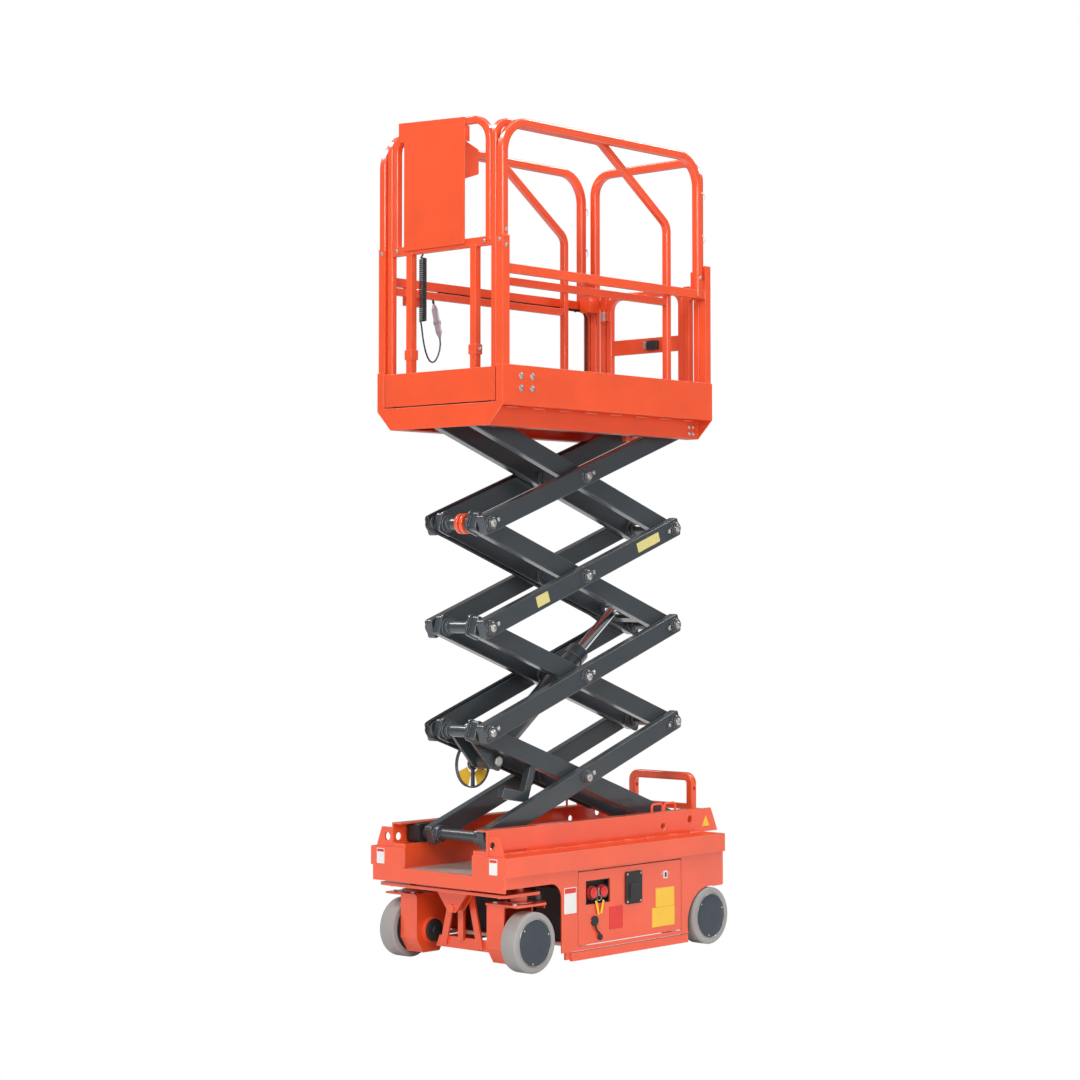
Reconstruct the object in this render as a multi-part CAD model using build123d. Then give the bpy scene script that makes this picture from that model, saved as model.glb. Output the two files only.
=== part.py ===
from build123d import *
from math import cos, hypot, radians, sin
import os

# A small electric scissor lift, raised to about half height.
# Millimetres. +X is forward (the steered end), +Y is the machine's left, +Z is up, the floor is z = 0.

# Plate thicknesses and general gaps
frame_plate = 6.0
thin_plate = 4.0
pin_clearance = 0.3
moving_gap = 5.0
slide_gap = 1.0

# Chassis
chassis_front = 733.0
body_rear = -633.0
tail_x = -733.0
half_width = 380.0
ledge_top = 462.0
band_height = 76.0
well_half_width = 190.0
well_floor = 382.0
front_plate_bottom = 325.0
track_outer_y = 265.0
track_top = 562.0
track_lip = 50.0
track_front = 725.0
eye_y = 293.0
eye_radius = 17.0
skirt_y = 368.0

# Wheels and axles
tyre_diameter = 240.0
tyre_width = 80.0
tyre_wall = 25.0
wheel_outer_y = 378.0
front_axle_x = 568.0
rear_axle_x = -542.0
stub_radius = 20.0
cover_thickness = 7.0

# Steering
kingpin_y = 290.0
kingpin_radius = 20.0
knuckle_top = 270.0
knuckle_box_length = 170.0
knuckle_box_width = 92.0
knuckle_ground_gap = 32.0
axle_plate_bottom = 303.0
axle_plate_thickness = 12.0
steering_arm = 105.0

# Scissor linkage
arm_pitch = 1240.0
rest_angle = 19.7
arm_height = 80.0
arm_width = 40.0
outer_arm_y = 165.0
arm_gap = 6.0
arm_overhang = 34.0
arm_edge = 4.0
flange_size = 88.0
pin_radius = 15.0
cross_tube_radius = 25.0
boss_radius = 38.0
pin_head = 15.0
rear_pivot_x = -567.0
rear_pivot_z = 518.0
levels = 4

# Slide blocks at the bottom, rollers at the top
slider_height = 74.0
slider_inner_y = 186.0
slider_outer_y = 252.0
roller_radius = 28.0
roller_outer_y = 262.0

# Lift cylinder, its two pins measured along and below the arms that carry them
base_back = 190.0
base_drop = 66.0
eye_along = 220.0
barrel_radius = 42.0
hoop_ring_radius = 98.0
rod_radius = 22.0
barrel_length = 700.0
lug_gap = 76.0
lug_plate = 12.0

# Platform
platform_front = 730.0
platform_rear = -595.0
platform_half_width = 352.0
toe_top = 2393.0
toe_bottom = 2234.0
toe_plate = 3.0
deck_top = 2246.0
channel_outer_y = 275.0
rail_top = 3380.0
mid_rail_z = 2775.0
rail_tube = 35.0
rail_corner = 8.0
hoop_radius = 130.0
lower_post = 40.0
lower_post_top = 2900.0

# Extension deck and its nested rails
extension_tube = 30.0
extension_gap = 7.0
extension_deck_top = 2260.0
extension_rear = -380.0
front_opening_half = 318.0
front_opening_bottom = 2245.0

# Gate
gate_half_width = 205.0
gate_top = 2820.0
gate_post_y = 238.0
hinge_x = -548.0
hinge_y = -222.0
gate_hinge_z = (2350.0, 2700.0)

# Control lead: curly part, loose loop, in-line connector, then a harness clipped to the rail
coil_x = 694.0
coil_y = -125.0
coil_radius = 17.0
coil_bottom = 2590.0
lead_diameter = 8.0
connector_radius = 13.0
connector_low = (454.0, -264.0, 2556.0)
connector_high = (434.0, -320.0, 2702.0)
lead_route = [(694, -125, 2590), (692, -127, 2532), (664, -140, 2472), (614, -165, 2437),
              (560, -192, 2440), (506, -222, 2472), (458, -253, 2528), (454.1, -263.8, 2555.4)]
harness_diameter = 10.0

# Side trays
tray_front = 304.0
tray_rear = -356.0
tray_top = 377.0
tray_bottom = 76.0
tray_depth = 290.0

half_angle = radians(rest_angle)
level_rise = arm_pitch * sin(half_angle)
level_reach = arm_pitch * cos(half_angle)
band_bottom = ledge_top - band_height
inner_arm_y = outer_arm_y - arm_width - arm_gap
tyre_radius = tyre_diameter / 2
top_pivot_z = rear_pivot_z + levels * level_rise
channel_bottom = top_pivot_z - roller_radius - slide_gap - frame_plate


def block(x0, x1, y0, y1, z0, z1):
    """Rectangular block between two corners."""
    return Pos((x0 + x1) / 2, (y0 + y1) / 2, (z0 + z1) / 2) * Box(x1 - x0, y1 - y0, z1 - z0)


def outline(points, radius=0.0):
    """Closed face through points, with every corner rounded to one radius."""
    if radius > 0:
        return make_face(FilletPolyline(*points, radius=radius, close=True))
    return make_face(Polyline(*points, close=True))


def plate_xz(face, y0, y1):
    """Side plate: a face drawn in X and Z, as thick as y0 to y1."""
    plane = Plane(origin=(0, y1, 0), x_dir=(1, 0, 0), z_dir=(0, -1, 0))
    return plane * extrude(face, y1 - y0)


def plate_yz(face, x0, x1):
    """Cross plate: a face drawn in Y and Z, as thick as x0 to x1."""
    plane = Plane(origin=(x0, 0, 0), x_dir=(0, 1, 0), z_dir=(1, 0, 0))
    return plane * extrude(face, x1 - x0)


def plate_xy(face, z0, z1):
    """Flat plate: a face drawn in X and Y, as thick as z0 to z1."""
    return Pos(0, 0, z0) * extrude(face, z1 - z0)


def shaft_y(x, z, radius, y0, y1):
    """Round bar across the machine."""
    return Pos(x, (y0 + y1) / 2, z) * Rot(90, 0, 0) * Cylinder(radius, y1 - y0)


def shaft_x(y, z, radius, x0, x1):
    """Round bar along the machine."""
    return Pos((x0 + x1) / 2, y, z) * Rot(0, 90, 0) * Cylinder(radius, x1 - x0)


def post_z(x, y, radius, z0, z1):
    """Upright round bar."""
    return Pos(x, y, (z0 + z1) / 2) * Cylinder(radius, z1 - z0)


def bent_tube(points, radius, size, normal):
    """Square tube with rounded corners along straight runs joined by bends, all in one plane."""
    path = FilletPolyline(*points, radius=radius)
    plane = Plane(origin=path @ 0, x_dir=normal, z_dir=path % 0)
    return sweep(plane * RectangleRounded(size, size, rail_corner * size / rail_tube), path=path)


def both_sides(solid):
    """A solid and its mirror image on the machine's other side."""
    return solid + mirror(solid, Plane.XZ)


def right_hand(solid):
    """The mirror image on the machine's right."""
    return mirror(solid, Plane.XZ)


def chassis_frame():
    """Folded chassis: two side boxes, the well floor, notched front plate and the two upper tracks."""
    t = frame_plate
    side = Pos(0, 0, 0) * block(body_rear, chassis_front - t, half_width - t, half_width, band_bottom, ledge_top)
    side += block(body_rear, chassis_front - t, well_half_width, half_width, ledge_top - t, ledge_top)
    side += block(body_rear, chassis_front - t, well_half_width, well_half_width + t, well_floor - t, ledge_top)
    track = [
        (body_rear, ledge_top - t),
        (track_front, ledge_top - t),
        (track_front, track_top),
        (tail_x + 47, track_top),
        (tail_x + 38, track_top - 18),
        (tail_x, ledge_top),
        (body_rear, ledge_top),
    ]
    web = plate_xz(outline(track), track_outer_y - t, track_outer_y)
    for x, z, r in ((rear_axle_x, 59, 16), (rear_axle_x + 180, 42, 14), (track_front - 32, 42, 16)):
        web -= shaft_y(x, ledge_top + z, r, track_outer_y - 2 * t, track_outer_y + t)
    slot = outline([(track_front - 230, 466), (track_front - 90, 466), (track_front - 90, 477),
                    (track_front - 230, 477)], 4)
    web -= plate_xz(slot, track_outer_y - 2 * t, track_outer_y + t)
    lip = block(body_rear, track_front, track_outer_y - track_lip, track_outer_y, track_top - t, track_top)
    strip = block(rear_pivot_x + 800, track_front, well_half_width, track_outer_y - t,
                  ledge_top, rear_pivot_z - slider_height / 2 - slide_gap)
    frame = both_sides(side + web + lip + strip)
    frame += block(body_rear, chassis_front - t, -well_half_width - t, well_half_width + t,
                   well_floor - 8, well_floor)
    frame += front_plate()
    rear = outline([(-skirt_y, 245), (skirt_y, 245), (skirt_y, band_bottom), (half_width, band_bottom),
                    (half_width, ledge_top), (-half_width, ledge_top), (-half_width, band_bottom),
                    (-skirt_y, band_bottom)])
    frame += plate_yz(rear, body_rear - t, body_rear)
    return frame + pivot_lugs()


def handle_loops():
    """Two thin bar handles on top of the left track, and their mirror images."""
    z0, z1 = track_top, 596.0
    loops = None
    for x in (-352, -436):
        path = FilletPolyline((x - 36, 240, z0), (x - 36, 240, z1), (x + 36, 240, z1), (x + 36, 240, z0), radius=14)
        loop = sweep(Plane(origin=path @ 0, z_dir=path % 0) * Circle(5), path=path)
        loops = loop if loops is None else loops + loop
    return both_sides(loops)


def front_plate():
    """Notched plate across the front, its ears as high as the side boxes."""
    half = [
        (well_half_width, well_floor), (well_half_width, ledge_top), (half_width, ledge_top),
        (half_width, band_bottom), (skirt_y, band_bottom), (skirt_y, front_plate_bottom),
    ]
    mirrored = [(-y, z) for y, z in reversed(half)]
    return plate_yz(outline(half + mirrored), chassis_front - frame_plate, chassis_front)


def pivot_lugs():
    """Two upright lugs on the well floor that hold the fixed rear pin, and the pin itself."""
    y0 = inner_arm_y + arm_gap
    lug = outline([(rear_pivot_x - 60, well_floor - 1), (rear_pivot_x + 60, well_floor - 1),
                   (rear_pivot_x + 30, rear_pivot_z + 30), (rear_pivot_x - 30, rear_pivot_z + 30)], 12)
    lugs = both_sides(plate_xz(lug, y0, y0 + 18))
    return lugs + shaft_y(rear_pivot_x, rear_pivot_z, pin_radius, -y0 - 22, y0 + 22)


def tie_down_lugs():
    """Two gusset plates behind the front ears, each with one round eye."""
    x1 = track_front
    x0 = x1 - 10
    lug = outline([(track_outer_y, ledge_top), (355, ledge_top), (325, ledge_top + 80),
                   (track_outer_y, ledge_top + 80)])
    plate = plate_yz(lug, x0, x1) - shaft_x(eye_y, ledge_top + 42, eye_radius, x0 - 1, x1 + 1)
    return both_sides(plate)


def skirt():
    """Left side panel: front arch, tray opening and rear wheel arch in one folded sheet."""
    top = ledge_top - frame_plate
    arch_z = tyre_radius - 20
    front = [(400, 60), (400, 340), (chassis_front - frame_plate, 340), (chassis_front - frame_plate, top),
             (body_rear, top), (body_rear, 242), (rear_axle_x, 242), (rear_axle_x, 60)]
    panel = plate_xz(outline(front), skirt_y - frame_plate, skirt_y)
    panel -= shaft_y(rear_axle_x, arch_z, tyre_radius + 25, skirt_y - 2 * frame_plate, skirt_y + frame_plate)
    corner = panel.edges().filter_by(Axis.Y).sort_by_distance((400, skirt_y, 340))[0]
    panel = fillet(corner, 65)
    opening = outline([(tray_rear, tray_bottom), (tray_front, tray_bottom), (tray_front, tray_top),
                       (tray_rear, tray_top)], 6)
    return panel - plate_xz(opening, skirt_y - 2 * frame_plate, skirt_y + frame_plate)


def pothole_guard():
    """Left anti-tip bar under the side panel, down as it is when the lift is raised."""
    bar = outline([(337, 22), (345, 56), (-398, 56), (-402, 22)])
    guard = plate_xz(bar, skirt_y - 14, skirt_y)
    back = skirt_y - 14
    for x in (360, -378):
        guard += plate_xz(outline([(x - 30, 30), (x + 12, 30), (x + 12, 125), (x - 12, 125)]),
                          back, skirt_y - frame_plate)
    return guard


def front_axle():
    """Cross plate under the front with two kingpin bores, posts up to the well and the centre struts."""
    z0 = axle_plate_bottom
    z1 = z0 + axle_plate_thickness
    plate = plate_xy(outline([(500, -350), (715, -350), (715, 350), (500, 350)], 15), z0, z1)
    plate -= both_sides(post_z(front_axle_x, kingpin_y, kingpin_radius + pin_clearance, z0 - 1, z1 + 1))
    beam = block(520, 700, -150, 150, z1, well_floor - 8)
    foot = outline([(-90, z0), (90, z0), (20, 215), (-20, 215)])
    strut = plate_yz(foot, 600, 610) + plate_yz(foot, 640, 650)
    boss = shaft_x(0, 232, 16, 592, 658)
    legs = both_sides(plate_yz(outline([(30, z0), (62, z0), (118, 72), (86, 72)]), 585, 595))
    panel = plate_yz(outline([(-150, 62), (150, 62), (132, 108), (-132, 108)]), 579, 585)
    post = block(585, 600, -14, 14, 100, z0)
    return plate + beam + strut + boss + legs + panel + post


def knuckle():
    """Left steering knuckle: top plate, kingpin, open-sided gearbox housing and wheel stub."""
    x = front_axle_x
    y0 = kingpin_y - 95
    y1 = y0 + knuckle_box_width
    low = knuckle_ground_gap
    half = knuckle_box_length / 2
    side = outline([(x - half, knuckle_top - 8), (x - half, low + 60), (x - half + 38, low),
                    (x + half - 38, low), (x + half, low + 60), (x + half, knuckle_top - 8)])
    box = plate_xz(side, y0, y1)
    hollow = outline([(x - half + 8, knuckle_top - 16), (x - half + 8, low + 64), (x - half + 42, low + 8),
                      (x + half - 42, low + 8), (x + half - 8, low + 64), (x + half - 8, knuckle_top - 16)])
    box -= plate_xz(hollow, y0 + 8, y1 + 1)
    top = outline([(x - steering_arm - 22, kingpin_y - 25), (x - steering_arm - 22, kingpin_y + 25),
                   (x - 75, kingpin_y + 78), (x + 92, kingpin_y + 78), (x + 92, y0), (x - 92, y0),
                   (x - 92, kingpin_y - 35)])
    top = plate_xy(top, knuckle_top - 8, knuckle_top)
    lip = block(x - steering_arm - 22, x - steering_arm - 14, kingpin_y - 25, kingpin_y + 25,
                knuckle_top - 30, knuckle_top)
    body = box + top + lip
    body += post_z(x, kingpin_y, 34, knuckle_top, axle_plate_bottom - pin_clearance)
    body += post_z(x, kingpin_y, kingpin_radius, knuckle_top, axle_plate_bottom + axle_plate_thickness + 18)
    body += post_z(x - steering_arm, kingpin_y, 9, knuckle_top, axle_plate_bottom - 8)
    body += shaft_y(x, tyre_radius, 52, y0 - 14, y1 - 4)
    body += shaft_y(x, tyre_radius, stub_radius, y0, wheel_outer_y - 40)
    return body


def tie_rod():
    """Rod that joins the two steering arms, with an eye at each end."""
    x = front_axle_x - steering_arm
    z0 = knuckle_top + 3
    z1 = axle_plate_bottom - 12
    rod = shaft_y(x, (z0 + z1) / 2, 8, -kingpin_y + 15, kingpin_y - 15)
    eyes = both_sides(post_z(x, kingpin_y, 20, z0, z1))
    bores = both_sides(post_z(x, kingpin_y, 9 + pin_clearance, z0 - 1, z1 + 1))
    return rod + eyes - bores


def rear_axle():
    """Cross tube behind the trays with two stubs, hung from the chassis on side hangers."""
    x = rear_axle_x
    inner = wheel_outer_y - tyre_width - 10
    tube = block(x - 30, x + 30, -inner, inner, tyre_radius - 30, tyre_radius + 30)
    hanger = outline([(x - 45, tyre_radius - 40), (x + 45, tyre_radius - 40), (x + 70, well_floor - 8),
                      (x - 70, well_floor - 8)], 8)
    hangers = both_sides(plate_xz(hanger, well_half_width - 20, well_half_width))
    stubs = shaft_y(x, tyre_radius, stub_radius, -wheel_outer_y + 40, wheel_outer_y - 40)
    flange = both_sides(shaft_y(x, tyre_radius, 48, inner - 12, inner))
    return tube + hangers + stubs + flange


def tyre(x, side):
    """Solid non-marking tyre, a ring with rounded shoulders."""
    outer_y = side * wheel_outer_y
    inner_y = side * (wheel_outer_y - tyre_width)
    low, high = min(outer_y, inner_y), max(outer_y, inner_y)
    ring = shaft_y(0, 0, tyre_radius, low, high) - shaft_y(0, 0, tyre_radius - tyre_wall, low - 1, high + 1)
    rims = ring.edges().filter_by(GeomType.CIRCLE).group_by(SortBy.RADIUS)[-1]
    return Pos(x, 0, tyre_radius) * fillet(rims, 9)


def hub(x, side):
    """Wheel centre bored for its stub, with a flat round cover on the outside."""
    radius = tyre_radius - tyre_wall - 0.05
    low = wheel_outer_y - tyre_width + 3
    body = shaft_y(0, 0, radius, low, wheel_outer_y - cover_thickness)
    body += shaft_y(0, 0, radius - 3, low, wheel_outer_y - 1)
    bore_end = wheel_outer_y - 40 + slide_gap
    body -= shaft_y(0, 0, stub_radius + pin_clearance, low - 1, bore_end)
    body -= shaft_y(0, 0, radius - 22, low - 1, low + 10) - shaft_y(0, 0, 40, low - 1, low + 10)
    body = Pos(x, 0, tyre_radius) * body
    return body if side > 0 else right_hand(body)


def tray():
    """Left slide-out tray: door panel, floor sheet and folded ends."""
    x0, x1 = tray_rear + thin_plate, tray_front - thin_plate
    z0, z1 = tray_bottom + thin_plate, tray_top - thin_plate
    door = outline([(x0, z0), (x1, z0), (x1, z1), (x0, z1)], 5)
    panel = plate_xz(door, skirt_y - frame_plate, skirt_y)
    recess = block(105, 255, skirt_y - 3 * frame_plate, skirt_y + 1, 238, 334)
    floor = block(x0 + 12, x1 - 12, skirt_y - tray_depth, skirt_y - frame_plate, z0, z0 + thin_plate)
    rear = block(x0 + 12, x1 - 12, skirt_y - tray_depth, skirt_y - tray_depth + thin_plate, z0, z0 + 40)
    return panel - recess + floor + rear


def tray_runners():
    """Two flat runners across the machine that both trays slide on."""
    inner = skirt_y - frame_plate
    z1 = tray_bottom + thin_plate - pin_clearance
    runners = block(tray_rear + 30, tray_rear + 60, -inner, inner, z1 - 14, z1)
    return runners + block(tray_front - 60, tray_front - 30, -inner, inner, z1 - 14, z1)


def tray_load(depth):
    """Heavy block that the tray carries, plain because it is closed in."""
    y1 = skirt_y - 90
    z0 = tray_bottom + 2 * thin_plate
    load = block(tray_rear + 40, tray_front - 40, y1 - depth, y1, z0, z0 + 210)
    return fillet(load.edges().filter_by(Axis.Z), 12)


def ground_controls():
    """Black control pocket set in the tray door, with two mushroom stop buttons."""
    face = skirt_y - frame_plate
    pocket = block(105, 255, face - 30, face, 238, 334) - block(109, 251, face - 26, face + 1, 242, 330)
    for x in (212, 148):
        pocket += shaft_y(x, 284, 14, face - 28, face - 6)
        pocket += shaft_y(x, 284, 26, face - 8, face + 12)
    return pocket


def tray_latch():
    """Black paddle latch plate on the tray door."""
    face = skirt_y
    plate = plate_xz(outline([(-92, 218), (12, 218), (12, 350), (-92, 350)], 10), face, face + 6)
    paddle = plate_xz(outline([(-68, 240), (-12, 240), (-12, 300), (-68, 300)], 6), face + 6, face + 12)
    return plate + paddle


def rear_ladder():
    """Step frame on the rear plate: two posts with rungs, the top one a grab handle."""
    x = -680.0
    half = 163.0
    rail = bent_tube([(x, -half, 260), (x, -half, 690), (x, half, 690), (x, half, 260)], 30, rail_tube, (1, 0, 0))
    for z in (300, 430, 560):
        rail += block(x - 15, x + 15, -half, half, z - 12, z + 12)
    for y in (-half, half):
        rail += block(x, body_rear - frame_plate, y - 12, y + 12, 320, 350)
        rail += block(x, body_rear - frame_plate, y - 12, y + 12, 410, 440)
    return rail - shaft_y(x, 640, 8, -half - 30, half + 30)


def arm_pair(y_outer):
    """Two arms lying along X from pin to pin, at one distance from the centre line."""
    x0, x1 = -arm_overhang, arm_pitch + arm_overhang
    half = arm_height / 2
    side = outline([(x0, -half), (x1, -half), (x1, half), (x0, half)], 12)
    arm = plate_xz(side, y_outer - arm_width, y_outer)
    arm = fillet(arm.faces().filter_by(Axis.Y).edges(), arm_edge)
    return both_sides(arm)


def bore_pair(x, y0, y1):
    """Holes for a pin through both arms of a pair."""
    return both_sides(shaft_y(x, 0, pin_radius + pin_clearance, y0, y1))


def inner_frame(front_end_shaft=False):
    """Inner arm pair: cross tubes at both ends, bored for the outer pair's pins."""
    y = inner_arm_y
    frame = arm_pair(y)
    ends = (0.0,) if front_end_shaft else (0.0, arm_pitch)
    for x in ends:
        frame += shaft_y(x, 0, cross_tube_radius, -y + 1, y - 1)
        frame += flange_pair(x)
        frame -= shaft_y(x, 0, pin_radius + pin_clearance, -y - 1, y + 1)
    frame += both_sides(shaft_y(arm_pitch / 2, 0, boss_radius, y - arm_width - 10, y - arm_width + 1))
    frame -= bore_pair(arm_pitch / 2, y - arm_width - 11, y + 1)
    return frame


def flange_pair(x):
    """Square flange plates and collars where a cross tube meets the inner arms."""
    face = inner_arm_y - arm_width
    half = flange_size / 2
    square = outline([(x - half, -half), (x + half, -half), (x + half, half), (x - half, half)], 16)
    flange = plate_xz(square, face - 8, face + 1)
    collar = shaft_y(x, 0, cross_tube_radius + 8, face - 24, face)
    return both_sides(flange + collar)


def outer_frame(bottom=False, top=False):
    """Outer arm pair with a through shaft at each end and stub pins at the middle."""
    y = outer_arm_y
    frame = arm_pair(y)
    head_y = y + pin_head
    reach = slider_outer_y if bottom else head_y
    frame += shaft_y(0, 0, pin_radius, -head_y, head_y)
    frame += shaft_y(arm_pitch, 0, pin_radius, -reach, reach)
    if bottom:
        frame += shaft_y(arm_pitch, 0, 22, -y, y)
        frame += both_sides(shaft_y(arm_pitch, 0, 34, y - arm_width - 24, y - arm_width))
        frame += both_sides(shaft_y(arm_pitch, 0, boss_radius - 9.5, y - 1, slider_inner_y - slide_gap))
    else:
        frame += both_sides(shaft_y(arm_pitch, 0, boss_radius - 9.5, y - 1, y + 9))
    frame += both_sides(shaft_y(0, 0, boss_radius - 9.5, y - 1, y + 9))
    middle = arm_pitch / 2
    frame += both_sides(shaft_y(middle, 0, pin_radius, inner_arm_y - arm_width - 14, head_y))
    frame += both_sides(shaft_y(middle, 0, boss_radius - 9.5, y - 1, y + 9))
    return frame


def on_inner(solid, level):
    """Place a piece drawn along X on the inner arms of a level, which rise to the front."""
    return Pos(rear_pivot_x, 0, rear_pivot_z + (level - 1) * level_rise) * Rot(0, -rest_angle, 0) * solid


def on_outer(solid, level):
    """Place a piece drawn along X on the outer arms of a level, which rise to the rear."""
    return Pos(rear_pivot_x, 0, rear_pivot_z + level * level_rise) * Rot(0, rest_angle, 0) * solid


def cylinder_base_bracket():
    """Two lugs under the front cross tube of the first inner frame, for the cylinder's base pin."""
    x, z = arm_pitch - base_back, -base_drop
    y0 = lug_gap / 2
    shape = outline([(x - 34, z - 34), (x + 34, z - 34), (arm_pitch + 18, -10), (arm_pitch + 18, 20),
                     (arm_pitch - 30, 24), (x - 34, z + 34)], 10)
    lugs = both_sides(plate_xz(shape, y0, y0 + lug_plate))
    caps = both_sides(shaft_y(x, z, 22, y0 + lug_plate, y0 + lug_plate + 12))
    caps += shaft_y(x, z, pin_radius, -y0 - 1, y0 + 1)
    bore = shaft_y(arm_pitch, 0, pin_radius + pin_clearance, -y0 - 20, y0 + 20)
    return lugs + caps - bore


def guard_hoop():
    """Flat hoop beside the cylinder's base with three spokes, hung from the right inner arm."""
    x, z = arm_pitch - 185.0, -85.0
    y0 = -inner_arm_y + arm_width - 14
    low, high = -inner_arm_y + arm_width + 2, -inner_arm_y + arm_width + 14
    ring = shaft_y(x, z, hoop_ring_radius, low, high) - shaft_y(x, z, hoop_ring_radius - 6, low - 1, high + 1)
    ring += shaft_y(x, z, 26, low, high)
    for turn in (20, 125, 235):
        spoke = Pos(x, (low + high) / 2, z) * Rot(0, turn, 0) * Pos(0, 0, -hoop_ring_radius / 2)
        ring += spoke * Box(16, 8, hoop_ring_radius - 4)
    return ring + block(x - 40, x + 40, y0, high, -arm_height / 2 - 16, -arm_height / 2)


def strap_bracket():
    """Flat strap bent to a U under the left inner arm, behind the cylinder's base."""
    y0 = inner_arm_y - arm_width + 1
    x1 = arm_pitch - 235.0
    x0 = x1 - 130.0
    outer = outline([(x0, -arm_height / 2), (x0, -186), (x1, -210), (x1 + 24, -210), (x1 + 24, -170),
                     (x0 + 34, -152), (x0 + 34, -arm_height / 2)], 8)
    return plate_xz(outer, y0, y0 + 30)


def cylinder_eye_bracket():
    """Square beam across the third inner frame with two lugs for the rod's eye."""
    x = eye_along
    y0 = lug_gap / 2
    arm_inner = inner_arm_y - arm_width
    beam = block(x - 120, x - 70, -arm_inner, arm_inner, -25, 25)
    shape = outline([(x - 118, -24), (x + 26, -24), (x + 26, 24), (x - 118, 24)], 12)
    lugs = both_sides(plate_xz(shape, y0, y0 + lug_plate))
    caps = both_sides(shaft_y(x, 0, 20, y0 + lug_plate, y0 + lug_plate + 10))
    return beam + lugs + caps


def cylinder_pins():
    """Places of the base pin and of the rod's eye in the raised pose, as X and Z."""
    c, s = cos(half_angle), sin(half_angle)
    along = arm_pitch - base_back
    base = (rear_pivot_x + along * c + base_drop * s, rear_pivot_z + along * s - base_drop * c)
    eye = (rear_pivot_x + eye_along * c, rear_pivot_z + 2 * level_rise + eye_along * s)
    return base, eye


def cylinder_frame(solid):
    """Place a piece drawn along X from the base pin, pointing to the rod's eye."""
    base, eye = cylinder_pins()
    length = hypot(eye[0] - base[0], eye[1] - base[1])
    x_dir = ((eye[0] - base[0]) / length, 0, (eye[1] - base[1]) / length)
    return Plane(origin=(base[0], 0, base[1]), x_dir=x_dir, z_dir=(x_dir[2], 0, -x_dir[0])) * solid


def cylinder_length():
    """Distance between the two pins in the raised pose."""
    base, eye = cylinder_pins()
    return hypot(eye[0] - base[0], eye[1] - base[1])


def barrel():
    """Cylinder barrel with its base eye, gland and hollow bore."""
    half = lug_gap / 2 - moving_gap
    start = 88.0
    tube = Pos((start + barrel_length) / 2, 0, 0) * Rot(0, 90, 0) * Cylinder(barrel_radius, barrel_length - start)
    gland = Pos(barrel_length - 15, 0, 0) * Rot(0, 90, 0) * Cylinder(barrel_radius + 5, 50)
    base_eye = Rot(90, 0, 0) * Cylinder(34, 2 * half) + block(0, start + 8, -half, half, -30, 30)
    body = tube + gland + base_eye
    bore = Pos(barrel_length / 2 + 60, 0, 0) * Rot(0, 90, 0) * Cylinder(rod_radius + pin_clearance, barrel_length)
    return body - bore - Rot(90, 0, 0) * Cylinder(pin_radius + pin_clearance, 2 * half + 2)


def rod():
    """Chromed piston rod with the eye at its end."""
    half = lug_gap / 2 - moving_gap
    length = cylinder_length()
    start = 260.0
    bar = Pos((start + length - 20) / 2, 0, 0) * Rot(0, 90, 0) * Cylinder(rod_radius, length - 20 - start)
    return bar + Pos(length, 0, 0) * Rot(90, 0, 0) * Cylinder(30, 2 * half)


def slide_block():
    """Black wear block that carries the bottom slide axle in the chassis track."""
    half = slider_height / 2
    x = rear_pivot_x + level_reach
    body = block(x - 50, x + 50, slider_inner_y, slider_outer_y, rear_pivot_z - half, rear_pivot_z + half)
    body = fillet(body.edges().filter_by(Axis.Y), 10)
    return body - shaft_y(x, rear_pivot_z, pin_radius + pin_clearance, slider_inner_y - 1, slider_outer_y + 1)


def top_axle():
    """Axle and two rollers at the front of the top inner frame, running in the platform channel."""
    y = inner_arm_y
    axle = shaft_y(arm_pitch, 0, pin_radius, -roller_outer_y, roller_outer_y)
    axle += shaft_y(arm_pitch, 0, cross_tube_radius, -y + 1, y - 1)
    return axle


def top_roller():
    """One roller of the top axle, in place."""
    x = rear_pivot_x + level_reach
    roller = shaft_y(x, top_pivot_z, 28, roller_outer_y - 40, roller_outer_y)
    return roller - shaft_y(x, top_pivot_z, pin_radius + pin_clearance, roller_outer_y - 41, roller_outer_y + 1)


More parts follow.
